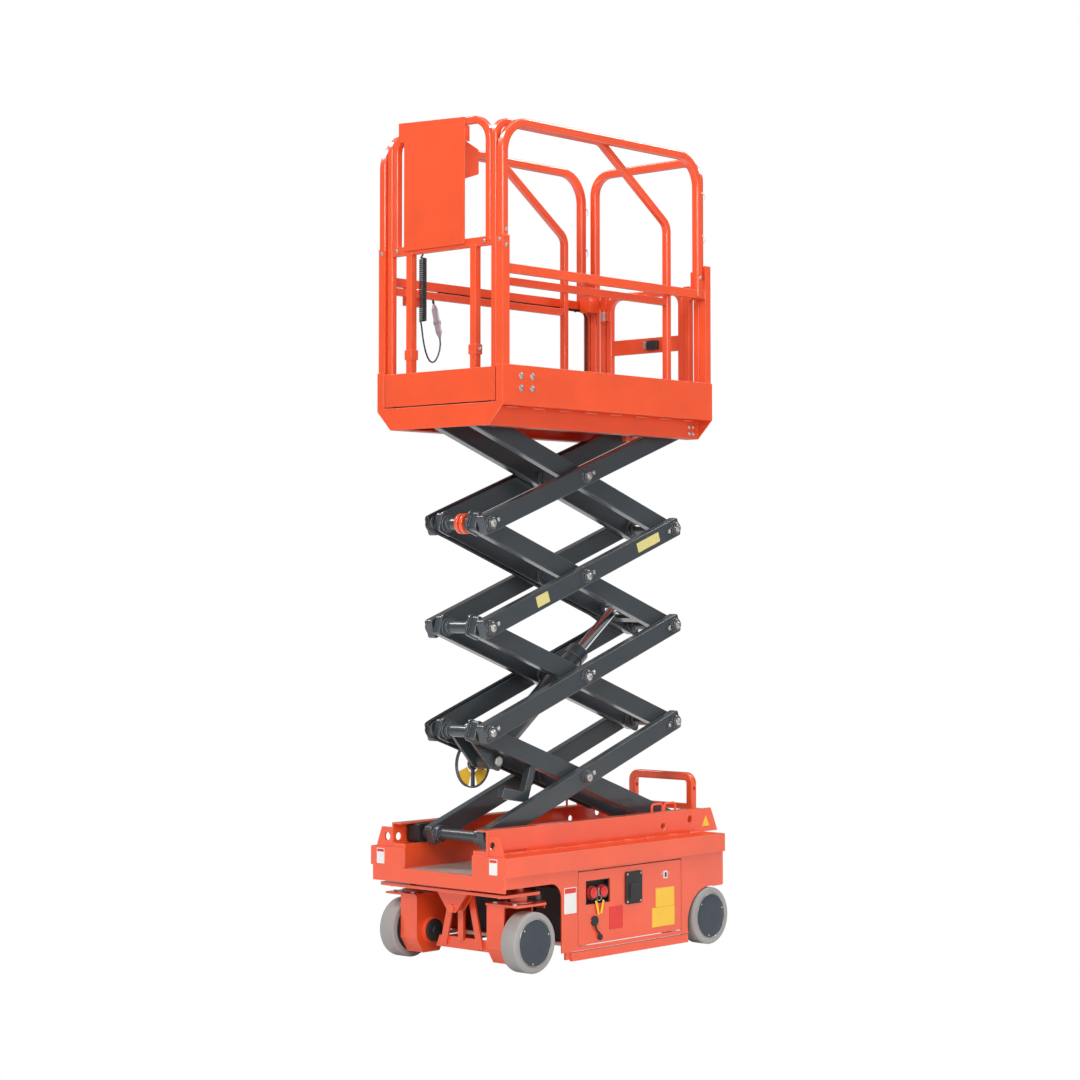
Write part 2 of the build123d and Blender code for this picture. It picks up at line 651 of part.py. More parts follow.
def platform_frame():
    """Main deck: sheet floor, two under-channels, toe boards and the notched end plates."""
    t = frame_plate
    x0, x1 = platform_rear + thin_plate, platform_front - thin_plate
    y = platform_half_width
    floor = block(x0, x1, -y + 1, y - 1, deck_top - thin_plate, deck_top)
    toe = block(x0, x1, y - toe_plate, y, toe_bottom, toe_top)
    toe += block(x0, x1, y - 30, y, toe_bottom, toe_bottom + thin_plate)
    web = block(x0, x1, channel_outer_y - t, channel_outer_y, channel_bottom, deck_top - 1)
    web += block(x0, x1, channel_outer_y - 60, channel_outer_y, channel_bottom, channel_bottom + t)
    strip = block(platform_front - 550, x1, channel_outer_y - 60, channel_outer_y - 1,
                  top_pivot_z + roller_radius + slide_gap, deck_top - 1)
    pad = block(x1 - 80, x1 - 10, front_opening_half - 40, front_opening_half - 12,
                deck_top, extension_deck_top - thin_plate - pin_clearance)
    frame = floor + both_sides(toe + web + strip + pad)
    cut = channel_outer_y - 70
    under = deck_top - 14
    low = [(-y, toe_bottom), (-channel_outer_y, channel_bottom), (channel_outer_y, channel_bottom), (y, toe_bottom)]
    notched = low[:2] + [(-cut, channel_bottom), (-cut, under), (cut, under), (cut, channel_bottom)] + low[2:]
    front = outline(low + [(y, toe_top), (front_opening_half, toe_top), (front_opening_half, front_opening_bottom),
                           (-front_opening_half, front_opening_bottom), (-front_opening_half, toe_top),
                           (-y, toe_top)])
    frame += plate_yz(front, x1, platform_front)
    inner = gate_post_y - 15
    rear = outline(notched + [(y, toe_top), (inner, toe_top), (inner, deck_top + 8), (-inner, deck_top + 8),
                          (-inner, toe_top), (-y, toe_top)])
    frame += plate_yz(rear, platform_rear, x0)
    lug = block(rear_pivot_x - 40, rear_pivot_x + 40, inner_arm_y - arm_width, inner_arm_y - arm_width + 20,
                top_pivot_z - 30, deck_top - 1)
    frame += both_sides(lug)
    bore = shaft_y(rear_pivot_x, top_pivot_z, pin_radius + pin_clearance, -inner_arm_y, inner_arm_y)
    return frame - bore


def side_rail():
    """Left main guardrail: folding hoop, mid rail, corner posts and hinge brackets."""
    y = platform_half_width - toe_plate - rail_tube / 2
    top = rail_top - rail_tube / 2
    x1 = platform_front - thin_plate - rail_tube / 2
    x0 = platform_rear + 75
    x_corner = platform_rear + thin_plate + rail_tube / 2
    hoop = bent_tube([(x1, y, deck_top), (x1, y, top), (x0, y, top), (x0, y, mid_rail_z - 10)],
                     hoop_radius, rail_tube, (0, 1, 0))
    mid = block(x_corner, x1, y - 12, y + 12, mid_rail_z - 18, mid_rail_z + 18)
    corner = block(x_corner - 17, x_corner + 17, y - 17, y + 17, deck_top, lower_post_top)
    bracket = block(x_corner, x0, y - 10, y + 10, mid_rail_z + 18, mid_rail_z + 60)
    sleeve = block(x1 - 22.5, x1 + 17.5, y - 18.5, y + 17.5, deck_top, lower_post_top)
    plate = block(x1 - 34, x1 - 6, y - 19.5, y - 16, lower_post_top - 80, lower_post_top + 50)
    plate += block(x0 - 22, x0 + 22, y - 19.5, y - 16, mid_rail_z - 24, mid_rail_z + 95)
    return hoop + mid + corner + bracket + sleeve + plate


def rear_rail():
    """Rear guardrail: full-height hoop and the two posts that the gate hangs from and latches to."""
    x = platform_rear + thin_plate + rail_tube / 2
    y = platform_half_width - toe_plate - 1.5 * rail_tube - 1
    hoop = bent_tube([(x, -y, deck_top), (x, -y, rail_top - rail_tube / 2), (x, y, rail_top - rail_tube / 2),
                      (x, y, deck_top)], 90, rail_tube, (1, 0, 0))
    post = block(x - 15, x + 15, gate_post_y - 15, gate_post_y + 15, deck_top, gate_top)
    link = block(x - 12, x + 12, gate_post_y, y, gate_top - 60, gate_top - 24)
    rail = hoop + both_sides(post + link)
    for z in gate_hinge_z:
        rail += block(x + 14, hinge_x + 8, -gate_post_y, -gate_post_y + 14, z - 6, z)
        rail += block(x + 18, hinge_x + 8, -gate_post_y, hinge_y + 8, z - 6, z)
        rail += post_z(hinge_x, hinge_y, 5, z - 1, z + 46)
    return rail


def document_box():
    """Open-topped box for papers by the right rear post."""
    x0 = platform_rear + thin_plate + rail_tube
    y1 = -platform_half_width + toe_plate + rail_tube + 30
    box = block(x0, x0 + 70, y1 - 26, y1 + 30, 2740, 2850)
    return box - block(x0 + 4, x0 + 66, y1 - 22, y1 + 26, 2744, 2851)


def socket_box():
    """Small box under the right mid rail for the control lead."""
    y = -platform_half_width + toe_plate + rail_tube / 2
    return fillet(block(505, 595, y - 14, y + 20, mid_rail_z - 92, mid_rail_z - 18).edges(), 5)


def foot_pedal():
    """Step pedal on the deck that frees the extension, with its hinge block."""
    side = outline([(-20, extension_deck_top + 2), (110, extension_deck_top + 2), (118, extension_deck_top + 12),
                    (10, extension_deck_top + 62), (-20, extension_deck_top + 58)])
    return plate_xz(side, -150, -110) + block(-30, 60, -160, -100, extension_deck_top, extension_deck_top + 8)


def corner_radii(points):
    """Bend radius at each inner point of a cord's route, from its shorter run and its turn."""
    radii = []
    for before, here, after in zip(points, points[1:], points[2:]):
        first, second = Vector(*here) - Vector(*before), Vector(*after) - Vector(*here)
        half_turn = radians(first.get_angle(second)) / 2
        shorter = min(first.length, second.length, 90.0)
        radii.append(0.45 * shorter * cos(half_turn) / max(sin(half_turn), 0.02))
    return radii


def cord(points, diameter):
    """Round cord along straight runs joined by tangent arcs."""
    radii = corner_radii(points)
    print("cord radii", [round(r, 1) for r in radii])
    path = FilletPolyline(*points, radius=radii)
    return sweep(Plane(origin=path @ 0, z_dir=path % 0) * Circle(diameter / 2), path=path)


def coil():
    """Curly part of the control lead, hanging under the front mid rail."""
    return post_z(coil_x, coil_y, coil_radius, coil_bottom, 2870) - post_z(coil_x, coil_y, 8, coil_bottom - 1, 2840)


def connector():
    """In-line connector of the control lead, tapered to the cord at both ends."""
    low, high = Vector(*connector_low), Vector(*connector_high)
    axis = high - low
    length = axis.length
    body = Pos(0, 0, length / 2) * Cylinder(connector_radius, length - 50)
    body += Pos(0, 0, 12.5) * Cone(lead_diameter / 2 + 1, connector_radius, 25)
    body += Pos(0, 0, length - 12.5) * Cone(connector_radius, lead_diameter / 2 + 1, 25)
    body += Pos(0, 0, length * 0.45) * Cylinder(connector_radius + 3, 14)
    return Plane(origin=low, z_dir=axis) * body


def gate():
    """Half-height entry gate: hoop, flat cross bar and low toe plate."""
    x = platform_rear + thin_plate + rail_tube / 2
    y = gate_half_width
    z0 = deck_top + 20
    hoop = bent_tube([(x, -y, z0), (x, -y, gate_top - 15), (x, y, gate_top - 15), (x, y, z0)],
                     60, extension_tube, (1, 0, 0))
    bar = block(x - 8, x + 8, -y, y, 2545, 2611)
    toe = block(x - 4, x + 4, -y, y, z0, toe_top - 10)
    leaf = hoop + bar + toe
    for z in gate_hinge_z:
        z0 = z + pin_clearance
        leaf += block(x + 14, hinge_x + 2, hinge_y + 6, hinge_y + 22, z0, z0 + 40)
        leaf += post_z(hinge_x, hinge_y, 9, z0, z0 + 40)
        leaf -= post_z(hinge_x, hinge_y, 5 + pin_clearance, z0 - 1, z0 + 41)
    return leaf


def extension_deck():
    """Roll-out deck: thin floor, side toe strips and the front panel that fills the main frame's notch."""
    half = front_opening_half - 10
    x1 = platform_front - 10
    z0 = extension_deck_top - thin_plate
    rail_y = platform_half_width - toe_plate - rail_tube - extension_gap
    deck = block(extension_rear - 20, x1, -rail_y, rail_y, z0, extension_deck_top)
    inner = rail_y - extension_tube
    sides = both_sides(block(extension_rear - 20, x1, inner - thin_plate, inner, z0, toe_top - 15))
    panel = block(x1, platform_front - 2, -half, half, front_opening_bottom + 6, toe_top - 8)
    pad = block(extension_rear, extension_rear + 60, inner, rail_y, deck_top + pin_clearance, z0)
    return deck + sides + panel + both_sides(pad)


def extension_side():
    """Left rail of the extension: hoop with a sloping rear corner, and its mid rail."""
    y = platform_half_width - toe_plate - rail_tube - extension_gap - extension_tube / 2
    top = rail_top - rail_tube / 2
    x1 = platform_front - extension_tube / 2 - 10
    x2, x3 = 76.0, -360.0
    hoop = bent_tube([(x1, y, extension_deck_top), (x1, y, top), (x2, y, top), (x3, y, 3060),
                      (x3, y, extension_deck_top)], 60, extension_tube, (0, 1, 0))
    mid = block(x3, x1, y - 10, y + 10, mid_rail_z - 60, mid_rail_z - 30)
    return hoop + mid


def front_rail():
    """Front rail of the extension: hoop, flat mid rail and two lower posts with clamps."""
    x = platform_front - extension_tube / 2 - 10
    y = platform_half_width - toe_plate - rail_tube - extension_gap - 1.5 * extension_tube - 1
    hoop = bent_tube([(x, -y, 2890), (x, -y, rail_top), (x, y, rail_top), (x, y, 2890)], 90,
                     extension_tube, (1, 0, 0))
    mid = block(x - 12, x + 12, -y - 15, y + 15, 2870, 2905)
    post = block(x - 15, x + 15, 165, 195, toe_top - 100, 2880)
    clamp = block(x - 19, x + 19, 160, 200, 2440, 2480)
    return hoop + mid + both_sides(post + clamp)


def control_box():
    """Flat guard plate over the operator's control box on the front rail."""
    x = platform_front - 10
    plate = plate_yz(outline([(-205, 2885), (137, 2885), (137, 3395), (-236, 3414), (-236, 3340), (-205, 3330)]),
                     x, x + thin_plate)
    side = outline([(x - 34, 3330), (x - 150, 3290), (x - 150, 3190), (x - 34, 3150)], 6)
    box = plate_xz(side, -175, 70)
    fold = block(x - 26, x, 131, 137, 3300, 3362) + block(x - 26, x, -205, -199, 2960, 3330)
    return plate + box + fold + block(x - 36, x, -60, 0, 3200, 3260)


harness_y = -platform_half_width + toe_plate + rail_tube / 2
harness_z = mid_rail_z - 18 - harness_diameter / 2
harness_x = platform_rear + thin_plate + rail_tube + harness_diameter / 2
harness_route = [connector_high, (430, -331, 2730), (400, harness_y, harness_z),
                 (harness_x, harness_y, harness_z), (harness_x, harness_y, deck_top)]

left_tray = tray()
bottom_outer = outer_frame(bottom=True)
middle_outer = outer_frame()
middle_inner = inner_frame()

parts = {
    "chassis_frame": chassis_frame(),
    "tie_down_lugs": tie_down_lugs(),
    "side_skirt_left": skirt(),
    "side_skirt_right": right_hand(skirt()),
    "pothole_guard_left": pothole_guard(),
    "pothole_guard_right": right_hand(pothole_guard()),
    "front_axle": front_axle(),
    "rear_axle": rear_axle(),
    "rear_ladder": rear_ladder(),
    "handle_loops": handle_loops(),
    "tray_runners": tray_runners(),
    "tray_left": left_tray,
    "tray_right": right_hand(left_tray),
    "battery_pack": tray_load(180),
    "power_unit": right_hand(tray_load(160)),
    "ground_controls": ground_controls(),
    "latch_left": tray_latch(),
    "latch_right": right_hand(tray_latch()),
    "knuckle_left": knuckle(),
    "knuckle_right": right_hand(knuckle()),
    "tie_rod": tie_rod(),
    "inner_arms_1": on_inner(middle_inner + cylinder_base_bracket(), 1),
    "outer_arms_1": on_outer(bottom_outer, 1),
    "inner_arms_2": on_inner(middle_inner, 2),
    "outer_arms_2": on_outer(middle_outer, 2),
    "inner_arms_3": on_inner(middle_inner + cylinder_eye_bracket(), 3),
    "outer_arms_3": on_outer(middle_outer, 3),
    "inner_arms_4": on_inner(inner_frame(front_end_shaft=True) + top_axle(), 4),
    "outer_arms_4": on_outer(middle_outer, 4),
    "slide_blocks": both_sides(slide_block()),
    "top_rollers": both_sides(top_roller()),
    "guard_hoop": on_inner(guard_hoop(), 1),
    "strap_bracket": on_inner(strap_bracket(), 1),
    "cylinder_barrel": cylinder_frame(barrel()),
    "cylinder_rod": cylinder_frame(rod()),
    "platform_frame": platform_frame(),
    "side_rail_left": side_rail(),
    "side_rail_right": right_hand(side_rail()),
    "rear_rail": rear_rail(),
    "document_box": document_box(),
    "socket_box": socket_box(),
    "foot_pedal": foot_pedal(),
    "gate": gate(),
    "extension_deck": extension_deck(),
    "extension_rail_left": extension_side(),
    "extension_rail_right": right_hand(extension_side()),
    "front_rail": front_rail(),
    "control_box": control_box(),
    "coil": coil(),
    "lead": cord(lead_route, lead_diameter),
    "connector": connector(),
    "harness": cord(harness_route, harness_diameter),
}

for corner, x, side in (("fl", front_axle_x, 1), ("fr", front_axle_x, -1),
                        ("rl", rear_axle_x, 1), ("rr", rear_axle_x, -1)):
    rubber = tyre(x, side)
    parts["tyre_" + corner] = rubber
    parts["hub_" + corner] = hub(x, side)

os.makedirs("parts", exist_ok=True)
for name, solid in parts.items():
    export_step(solid, "parts/" + name + ".step")
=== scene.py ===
# %% [markdown]
# # A compact scissor lift, dressed for its picture
# The solid parts come ready made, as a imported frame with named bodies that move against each
# other. Here they get their paint, and the small things a maker fits last: bolts, weld beads,
# wheel covers, cables, blank stickers and the control lead. Every new piece is a surface worked
# out as whole arrays of points, and then fixed to the body that carries it.

import bmesh
import bpy
import numpy as np
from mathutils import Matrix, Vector


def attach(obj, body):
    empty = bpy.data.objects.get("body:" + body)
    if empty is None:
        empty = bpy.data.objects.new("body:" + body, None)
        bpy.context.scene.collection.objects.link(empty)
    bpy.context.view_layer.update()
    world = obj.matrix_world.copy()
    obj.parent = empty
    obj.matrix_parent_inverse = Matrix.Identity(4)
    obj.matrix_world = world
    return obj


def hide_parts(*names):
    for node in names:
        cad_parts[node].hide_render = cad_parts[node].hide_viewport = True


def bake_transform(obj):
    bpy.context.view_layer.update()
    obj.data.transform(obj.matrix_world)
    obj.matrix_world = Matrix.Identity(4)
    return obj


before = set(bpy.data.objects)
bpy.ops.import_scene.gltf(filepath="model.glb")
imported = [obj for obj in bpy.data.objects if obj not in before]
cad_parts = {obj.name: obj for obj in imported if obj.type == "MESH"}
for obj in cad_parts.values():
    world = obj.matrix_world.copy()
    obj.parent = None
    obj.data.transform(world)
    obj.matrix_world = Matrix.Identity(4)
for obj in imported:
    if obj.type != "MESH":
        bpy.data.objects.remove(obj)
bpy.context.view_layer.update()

# %% [markdown]
# ## Camera
# The camera stands where the photographer stood: about ten metres away at head height, looking
# slightly up, with a long lens and its frame shifted a little. A short lens close by would show
# the machine as large, but it would spread the arms. From far off they stay nearly parallel, as
# the photograph has them.

# %% Place the camera
CAMERA_AT = (7.798, 6.946, 1.5145)
CAMERA_LOOK = (-0.7370, -0.6747, 0.04135)
FOCAL_LENGTH, SENSOR_WIDTH = 82.43, 36.0
SHIFT_X, SHIFT_Y = 0.0131, -0.0508
lens = bpy.data.cameras.new("camera")
camera = bpy.data.objects.new("camera", lens)
bpy.context.scene.collection.objects.link(camera)
camera.location = CAMERA_AT
camera.rotation_euler = Vector(CAMERA_LOOK).to_track_quat("-Z", "Y").to_euler()
lens.lens, lens.sensor_width = FOCAL_LENGTH, SENSOR_WIDTH
lens.shift_x, lens.shift_y = SHIFT_X, SHIFT_Y
bpy.context.scene.camera = camera
print("camera at", CAMERA_AT)

# %% [markdown]
# ## Helpers: skins over rings of points
# Nearly every piece here is a stack of rings: a bolt is a turned profile, a cable is a circle
# carried along a path, a sticker is a rounded outline with a small thickness. One function
# joins the rings into quads, and closes the two ends with a fan, so each piece is watertight.
# Ready-made solids with modifiers could do the same, but their sizes would be spread over many
# settings, and here each shape is one list of numbers.

# %% Skin helpers
FRONT, LEFT, UP, REARWARD = (1, 0, 0), (0, 1, 0), (0, 0, 1), (-1, 0, 0)


def ring_shell(rings):
    """Closed skin: point (i, j) joins (i, j+1) and (i+1, j), and both ends fan to their mean."""
    rows, cols, _ = rings.shape
    row, col = np.arange(rows - 1)[:, None] * cols, np.arange(cols)
    step, last, centre = (col + 1) % cols, (rows - 1) * cols, rows * cols
    quads = np.stack([row + col, row + step, row + cols + step, row + cols + col], -1)
    low = np.stack([step, col, np.full(cols, centre)], 1)
    high = np.stack([last + col, last + step, np.full(cols, centre + 1)], 1)
    points = np.concatenate([rings.reshape(-1, 3), rings[:1].mean(1), rings[-1:].mean(1)])
    return points, quads.reshape(-1, 4).tolist() + low.tolist() + high.tolist()


def loop_shell(rings):
    """Ring-shaped skin, closed both ways, as a doughnut is."""
    rows, cols, _ = rings.shape
    row, col = np.arange(rows)[:, None], np.arange(cols)
    here, after, step = row * cols, (row + 1) % rows * cols, (col + 1) % cols
    quads = np.stack([here + col, here + step, after + step, after + col], -1)
    return rings.reshape(-1, 3), quads.reshape(-1, 4).tolist()


def basis(axis):
    """Three unit rows, the last along the axis."""
    z = np.asarray(axis, float) / np.linalg.norm(axis)
    x = np.cross((0.0, 0.0, 1.0) if abs(z[2]) < 0.9 else (1.0, 0.0, 0.0), z)
    x = x / np.linalg.norm(x)
    return np.stack([x, np.cross(z, x), z])


def turned(profile, at, axis, sides=28):
    """Turned piece: (r cos a, r sin a, h) for each (r, h) of the profile, stood on its axis."""
    radius, height = np.asarray(profile, float).T
    angle = np.linspace(0, 2 * np.pi, sides, endpoint=False)
    ring = np.stack([np.cos(angle), np.sin(angle)], -1)
    rings = np.concatenate([radius[:, None, None] * ring, np.repeat(height[:, None, None], sides, 1)], -1)
    return ring_shell(rings @ basis(axis) + np.asarray(at))


def doughnut(at, axis, radius, thick, sides=36, around=10, flat=1.0):
    """Round ring: ((R + r cos b) cos a, (R + r cos b) sin a, r sin b), its section flattened."""
    a = np.linspace(0, 2 * np.pi, sides, endpoint=False)[:, None]
    b = np.linspace(0, 2 * np.pi, around, endpoint=False)
    out = radius + thick * np.cos(b)
    rings = np.stack([out * np.cos(a), out * np.sin(a), np.sin(b) * thick * flat + 0 * a], -1)
    return loop_shell(rings @ basis(axis) + np.asarray(at))


def slab(width, height, at, normal, right, thick=0.0008, corner=0.004, soft=0.0003):
    """Thin plate: a rectangle with round corners in three rings, the last drawn in by soft."""
    turn = np.linspace(0, 2 * np.pi, 24, endpoint=False) + np.pi / 24
    spread = np.stack([np.cos(turn), np.sin(turn)], -1)
    edge = np.sign(spread) * (width / 2 - corner, height / 2 - corner)
    reach = np.array([corner, corner, corner - soft])[:, None, None]
    flat = edge + reach * spread
    lift = np.array([0.0, thick - soft, thick])[:, None, None]
    normal, right = np.asarray(normal, float), np.asarray(right, float)
    up = np.cross(normal, right)
    return ring_shell(flat[..., :1] * right + flat[..., 1:] * up + lift * normal + np.asarray(at))


# No path here runs along this direction, so a section carried along one never flips over.
LEAN = np.array([0.25, 0.30, 0.92]) / np.linalg.norm([0.25, 0.30, 0.92])


def swept(path, radius, sides=10, ripple=0.0, pitch=0.005):
    """Round section along a path: p + r (cos a s + sin a u), r swelling by ripple each pitch."""
    path = np.asarray(path, float)
    along = np.gradient(path, axis=0)
    along /= np.linalg.norm(along, axis=1, keepdims=True)
    side = np.cross(along, LEAN)
    side /= np.linalg.norm(side, axis=1, keepdims=True)
    up = np.cross(side, along)
    run = np.concatenate([[0], np.cumsum(np.linalg.norm(np.diff(path, axis=0), axis=1))])
    size = (radius * (1 + ripple * np.abs(np.sin(np.pi * run / pitch))))[:, None, None]
    a = np.linspace(0, 2 * np.pi, sides, endpoint=False)[None, :, None]
    return ring_shell(path[:, None] + size * (np.cos(a) * side[:, None] + np.sin(a) * up[:, None]))


def smooth_route(points, steps=8):
    """Quadratic spline through the middles of the runs, starting and ending on the end points."""
    p = np.asarray(points, float)
    start = np.concatenate([p[:1], (p[1:-2] + p[2:-1]) / 2])[:, None]
    end = np.concatenate([(p[1:-2] + p[2:-1]) / 2, p[-1:]])[:, None]
    t = np.linspace(0, 1, steps)[None, :, None]
    curve = (1 - t) ** 2 * start + 2 * t * (1 - t) * p[1:-1][:, None] + t ** 2 * end
    return np.concatenate([curve[:, :-1].reshape(-1, 3), p[-1:]])


def bead(start, end, radius=0.0028, step=0.0016):
    """Weld bead: a thin round section along a straight run, swelling at every ripple."""
    start, end = np.asarray(start, float), np.asarray(end, float)
    count = max(8, int(np.linalg.norm(end - start) / step))
    return swept(start + np.linspace(0, 1, count)[:, None] * (end - start), radius, 6, 0.35)


def bolt(at, axis, radius=0.006):
    """Washer and six-sided head, two turned profiles on one axis."""
    at, axis = np.asarray(at, float), np.asarray(axis, float)
    washer = [(radius * 1.55, -0.0005), (radius * 1.55, 0.0010), (radius * 1.45, 0.0014)]
    head = [(radius, 0.001), (radius, radius * 0.62), (radius * 0.86, radius * 0.75),
            (radius * 0.3, radius * 0.72)]
    return [turned(washer, at, axis, 20), turned(head, at, axis, 6)]


print("helpers ready")

# %% [markdown]
# ## Paints and other finishes
# Powder coat is not one flat colour. It has a faint cloud of tone and a fine orange-peel skin,
# and each edge gets a painted highlight: a lighter colour along the edge that stands in for the
# glint of light there, and in part for coat pulled thin. Painted-on pictures could show all of
# that, but each part would need unwrapping. Here the edge comes from a Bevel node, whose
# normal differs from the flat one only near an edge, and the patterns read Object coordinates,
# so they need no unwrapping and stay on the part when it moves.

# %% Finish helper
COAT_ROUGHNESS, EDGE_WIDTH, SKIN_DEPTH = 0.12, 0.002, 0.0004
RANGE_SOCKETS = ("From Min", "From Max", "To Min", "To Max")


def finish(name, colour, rough, metal=0.0, cloud=0.06, grain=600.0, skin=0.04, edge=None, coat=0.0):
    """Principled surface: clouded colour, noisy roughness, fine bump and a painted highlight on the edges."""
    material = bpy.data.materials.new(name)
    material.use_nodes = True
    nodes, links = material.node_tree.nodes, material.node_tree.links
    surface = nodes["Principled BSDF"]
    surface.inputs["Metallic"].default_value = metal
    surface.inputs["Coat Weight"].default_value = coat
    surface.inputs["Coat Roughness"].default_value = COAT_ROUGHNESS
    where = nodes.new("ShaderNodeTexCoord").outputs["Object"]

    def noise(scale, detail):
        node = nodes.new("ShaderNodeTexNoise")
        node.inputs["Scale"].default_value = scale
        node.inputs["Detail"].default_value = detail
        links.new(where, node.inputs["Vector"])
        return node.outputs["Fac"]

    def between(value, low, high, new_low, new_high):
        node = nodes.new("ShaderNodeMapRange")
        for socket, number in zip(RANGE_SOCKETS, (low, high, new_low, new_high)):
            node.inputs[socket].default_value = number
        links.new(value, node.inputs["Value"])
        return node.outputs["Result"]

    def mixed(factor, first, second):
        node = nodes.new("ShaderNodeMix")
        node.data_type = "RGBA"
        links.new(factor, node.inputs["Factor"])
        for socket, value in ((node.inputs["A"], first), (node.inputs["B"], second)):
            if isinstance(value, tuple):
                socket.default_value = (*value, 1.0)
            else:
                links.new(value, socket)
        return node.outputs["Result"]

    dark = tuple(c * (1 - cloud) for c in colour)
    light = tuple(min(1.0, c * (1 + cloud)) for c in colour)
    tone = mixed(between(noise(5.0, 4.0), 0.3, 0.7, 0.0, 1.0), dark, light)
    soft = nodes.new("ShaderNodeBevel")
    soft.samples = 4
    soft.inputs["Radius"].default_value = EDGE_WIDTH
    # Painted highlight: near an edge the Bevel normal turns from the flat one, and there the colour is mixed
    # towards the lighter edge colour, partly also for coat pulled thin there.
    if edge:
        plain = nodes.new("ShaderNodeNewGeometry").outputs["Normal"]
        same = nodes.new("ShaderNodeVectorMath")
        same.operation = "DOT_PRODUCT"
        links.new(soft.outputs["Normal"], same.inputs[0])
        links.new(plain, same.inputs[1])
        tone = mixed(between(same.outputs["Value"], 0.995, 0.86, 0.0, 0.8), tone, edge)
    links.new(tone, surface.inputs["Base Color"])
    links.new(between(noise(38.0, 3.0), 0.3, 0.7, rough * 0.85, rough * 1.15), surface.inputs["Roughness"])
    bump = nodes.new("ShaderNodeBump")
    bump.inputs["Strength"].default_value = skin
    bump.inputs["Distance"].default_value = SKIN_DEPTH
    links.new(noise(grain, 2.0), bump.inputs["Height"])
    links.new(soft.outputs["Normal"], bump.inputs["Normal"])
    links.new(bump.outputs["Normal"], surface.inputs["Normal"])
    return material


# Each edge colour is lighter than its paint: a painted highlight along the edges, partly also for coat pulled
# thin there.
FINISHES = {
    "orange": finish("orange_powder_coat", (0.88, 0.086, 0.017), 0.34, edge=(1.0, 0.36, 0.20), coat=0.9,
                     skin=0.08),
    "red": finish("red_plastic", (0.78, 0.025, 0.015), 0.32, coat=0.2),
    "arm": finish("dark_grey_coat", (0.040, 0.049, 0.056), 0.34, edge=(0.55, 0.57, 0.60), coat=0.7,
                  skin=0.1),
    "slate": finish("slate_cover", (0.040, 0.055, 0.070), 0.48, edge=(0.13, 0.15, 0.17)),
    "tyre": finish("pale_tyre_rubber", (0.36, 0.345, 0.33), 0.78, cloud=0.14, grain=260.0, skin=0.25),
    "steel": finish("zinc_plated_steel", (0.66, 0.65, 0.62), 0.34, metal=1.0, cloud=0.1, grain=300.0),
    "chrome": finish("chromed_rod", (0.80, 0.81, 0.83), 0.10, metal=1.0, cloud=0.02, grain=120.0,
                     skin=0.01),
    "black": finish("black_moulding", (0.018, 0.018, 0.020), 0.50, edge=(0.08, 0.08, 0.085), grain=900.0,
                    skin=0.15),
    "cable": finish("cable_jacket", (0.020, 0.021, 0.023), 0.42, cloud=0.12, grain=500.0, skin=0.1),
    "well": finish("well_plate", (0.52, 0.40, 0.36), 0.50, metal=0.3, cloud=0.12, grain=160.0, skin=0.2),
    "deck": finish("deck_plate", (0.34, 0.34, 0.35), 0.42, metal=0.7, cloud=0.12, grain=180.0, skin=0.3),
    "yellow": finish("yellow_sticker", (0.95, 0.58, 0.045), 0.42, cloud=0.05),
    "cream": finish("arm_label", (0.70, 0.62, 0.24), 0.42, cloud=0.04),
    "white": finish("white_sticker", (0.84, 0.84, 0.82), 0.42, cloud=0.03),
    "casing": finish("closed_casing", (0.05, 0.05, 0.055), 0.55),
    "clear": finish("grey_connector", (0.40, 0.38, 0.42), 0.30, cloud=0.12, coat=0.3),
}
print("finishes:", sorted(FINISHES))

# %% [markdown]
# The solids take their finish by name, which is shorter than a list of all sixty. The frame,
# rails and panels share the orange powder coat, the arms have a dark one, and what touches the
# hand or the floor is moulded.

# %% Paint the solids
PAINTED = (
    ("tyre", "tyre"), ("hub", "slate"), ("inner_arms", "arm"), ("outer_arms", "arm"),
    ("cylinder_barrel", "arm"), ("cylinder_rod", "chrome"), ("tie_rod", "arm"), ("slide_blocks", "black"),
    ("top_rollers", "black"), ("guard_hoop", "arm"), ("strap_bracket", "arm"), ("ground_controls", "black"),
    ("latch", "black"), ("battery", "casing"), ("power_unit", "casing"), ("coil", "cable"),
    ("lead", "cable"), ("harness", "cable"), ("connector", "clear"), ("tray_runners", "steel"),
)
for name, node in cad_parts.items():
    kind = next((k for start, k in PAINTED if name.startswith(start)), "orange")
    node.data.materials.clear()
    node.data.materials.append(FINISHES[kind])
print("painted", len(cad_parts), "nodes")


# %% Piece helper
def piece(name, shells, body, kind, crease=0.6):
    """One object from several skins, normals turned outwards, riding on a body when one is given."""
    offsets = np.cumsum([0] + [len(points) for points, _ in shells])
    faces = []
    for start, (_, part) in zip(offsets, shells):
        faces += [[corner + int(start) for corner in face] for face in part]
    mesh = bpy.data.meshes.new(name)
    mesh.from_pydata(np.concatenate([points for points, _ in shells]).tolist(), [], faces)
    work = bmesh.new()
    work.from_mesh(mesh)
    bmesh.ops.recalc_face_normals(work, faces=work.faces)
    work.to_mesh(mesh)
    work.free()
    mesh.polygons.foreach_set("use_smooth", np.ones(len(mesh.polygons), bool))
    mesh.set_sharp_from_angle(angle=crease)
    mesh.materials.append(FINISHES[kind])
    made = bpy.data.objects.new(name, mesh)
    bpy.context.scene.collection.objects.link(made)
    if body:
        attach(made, body)
    print(name, len(mesh.polygons), "faces on", body)
    return made
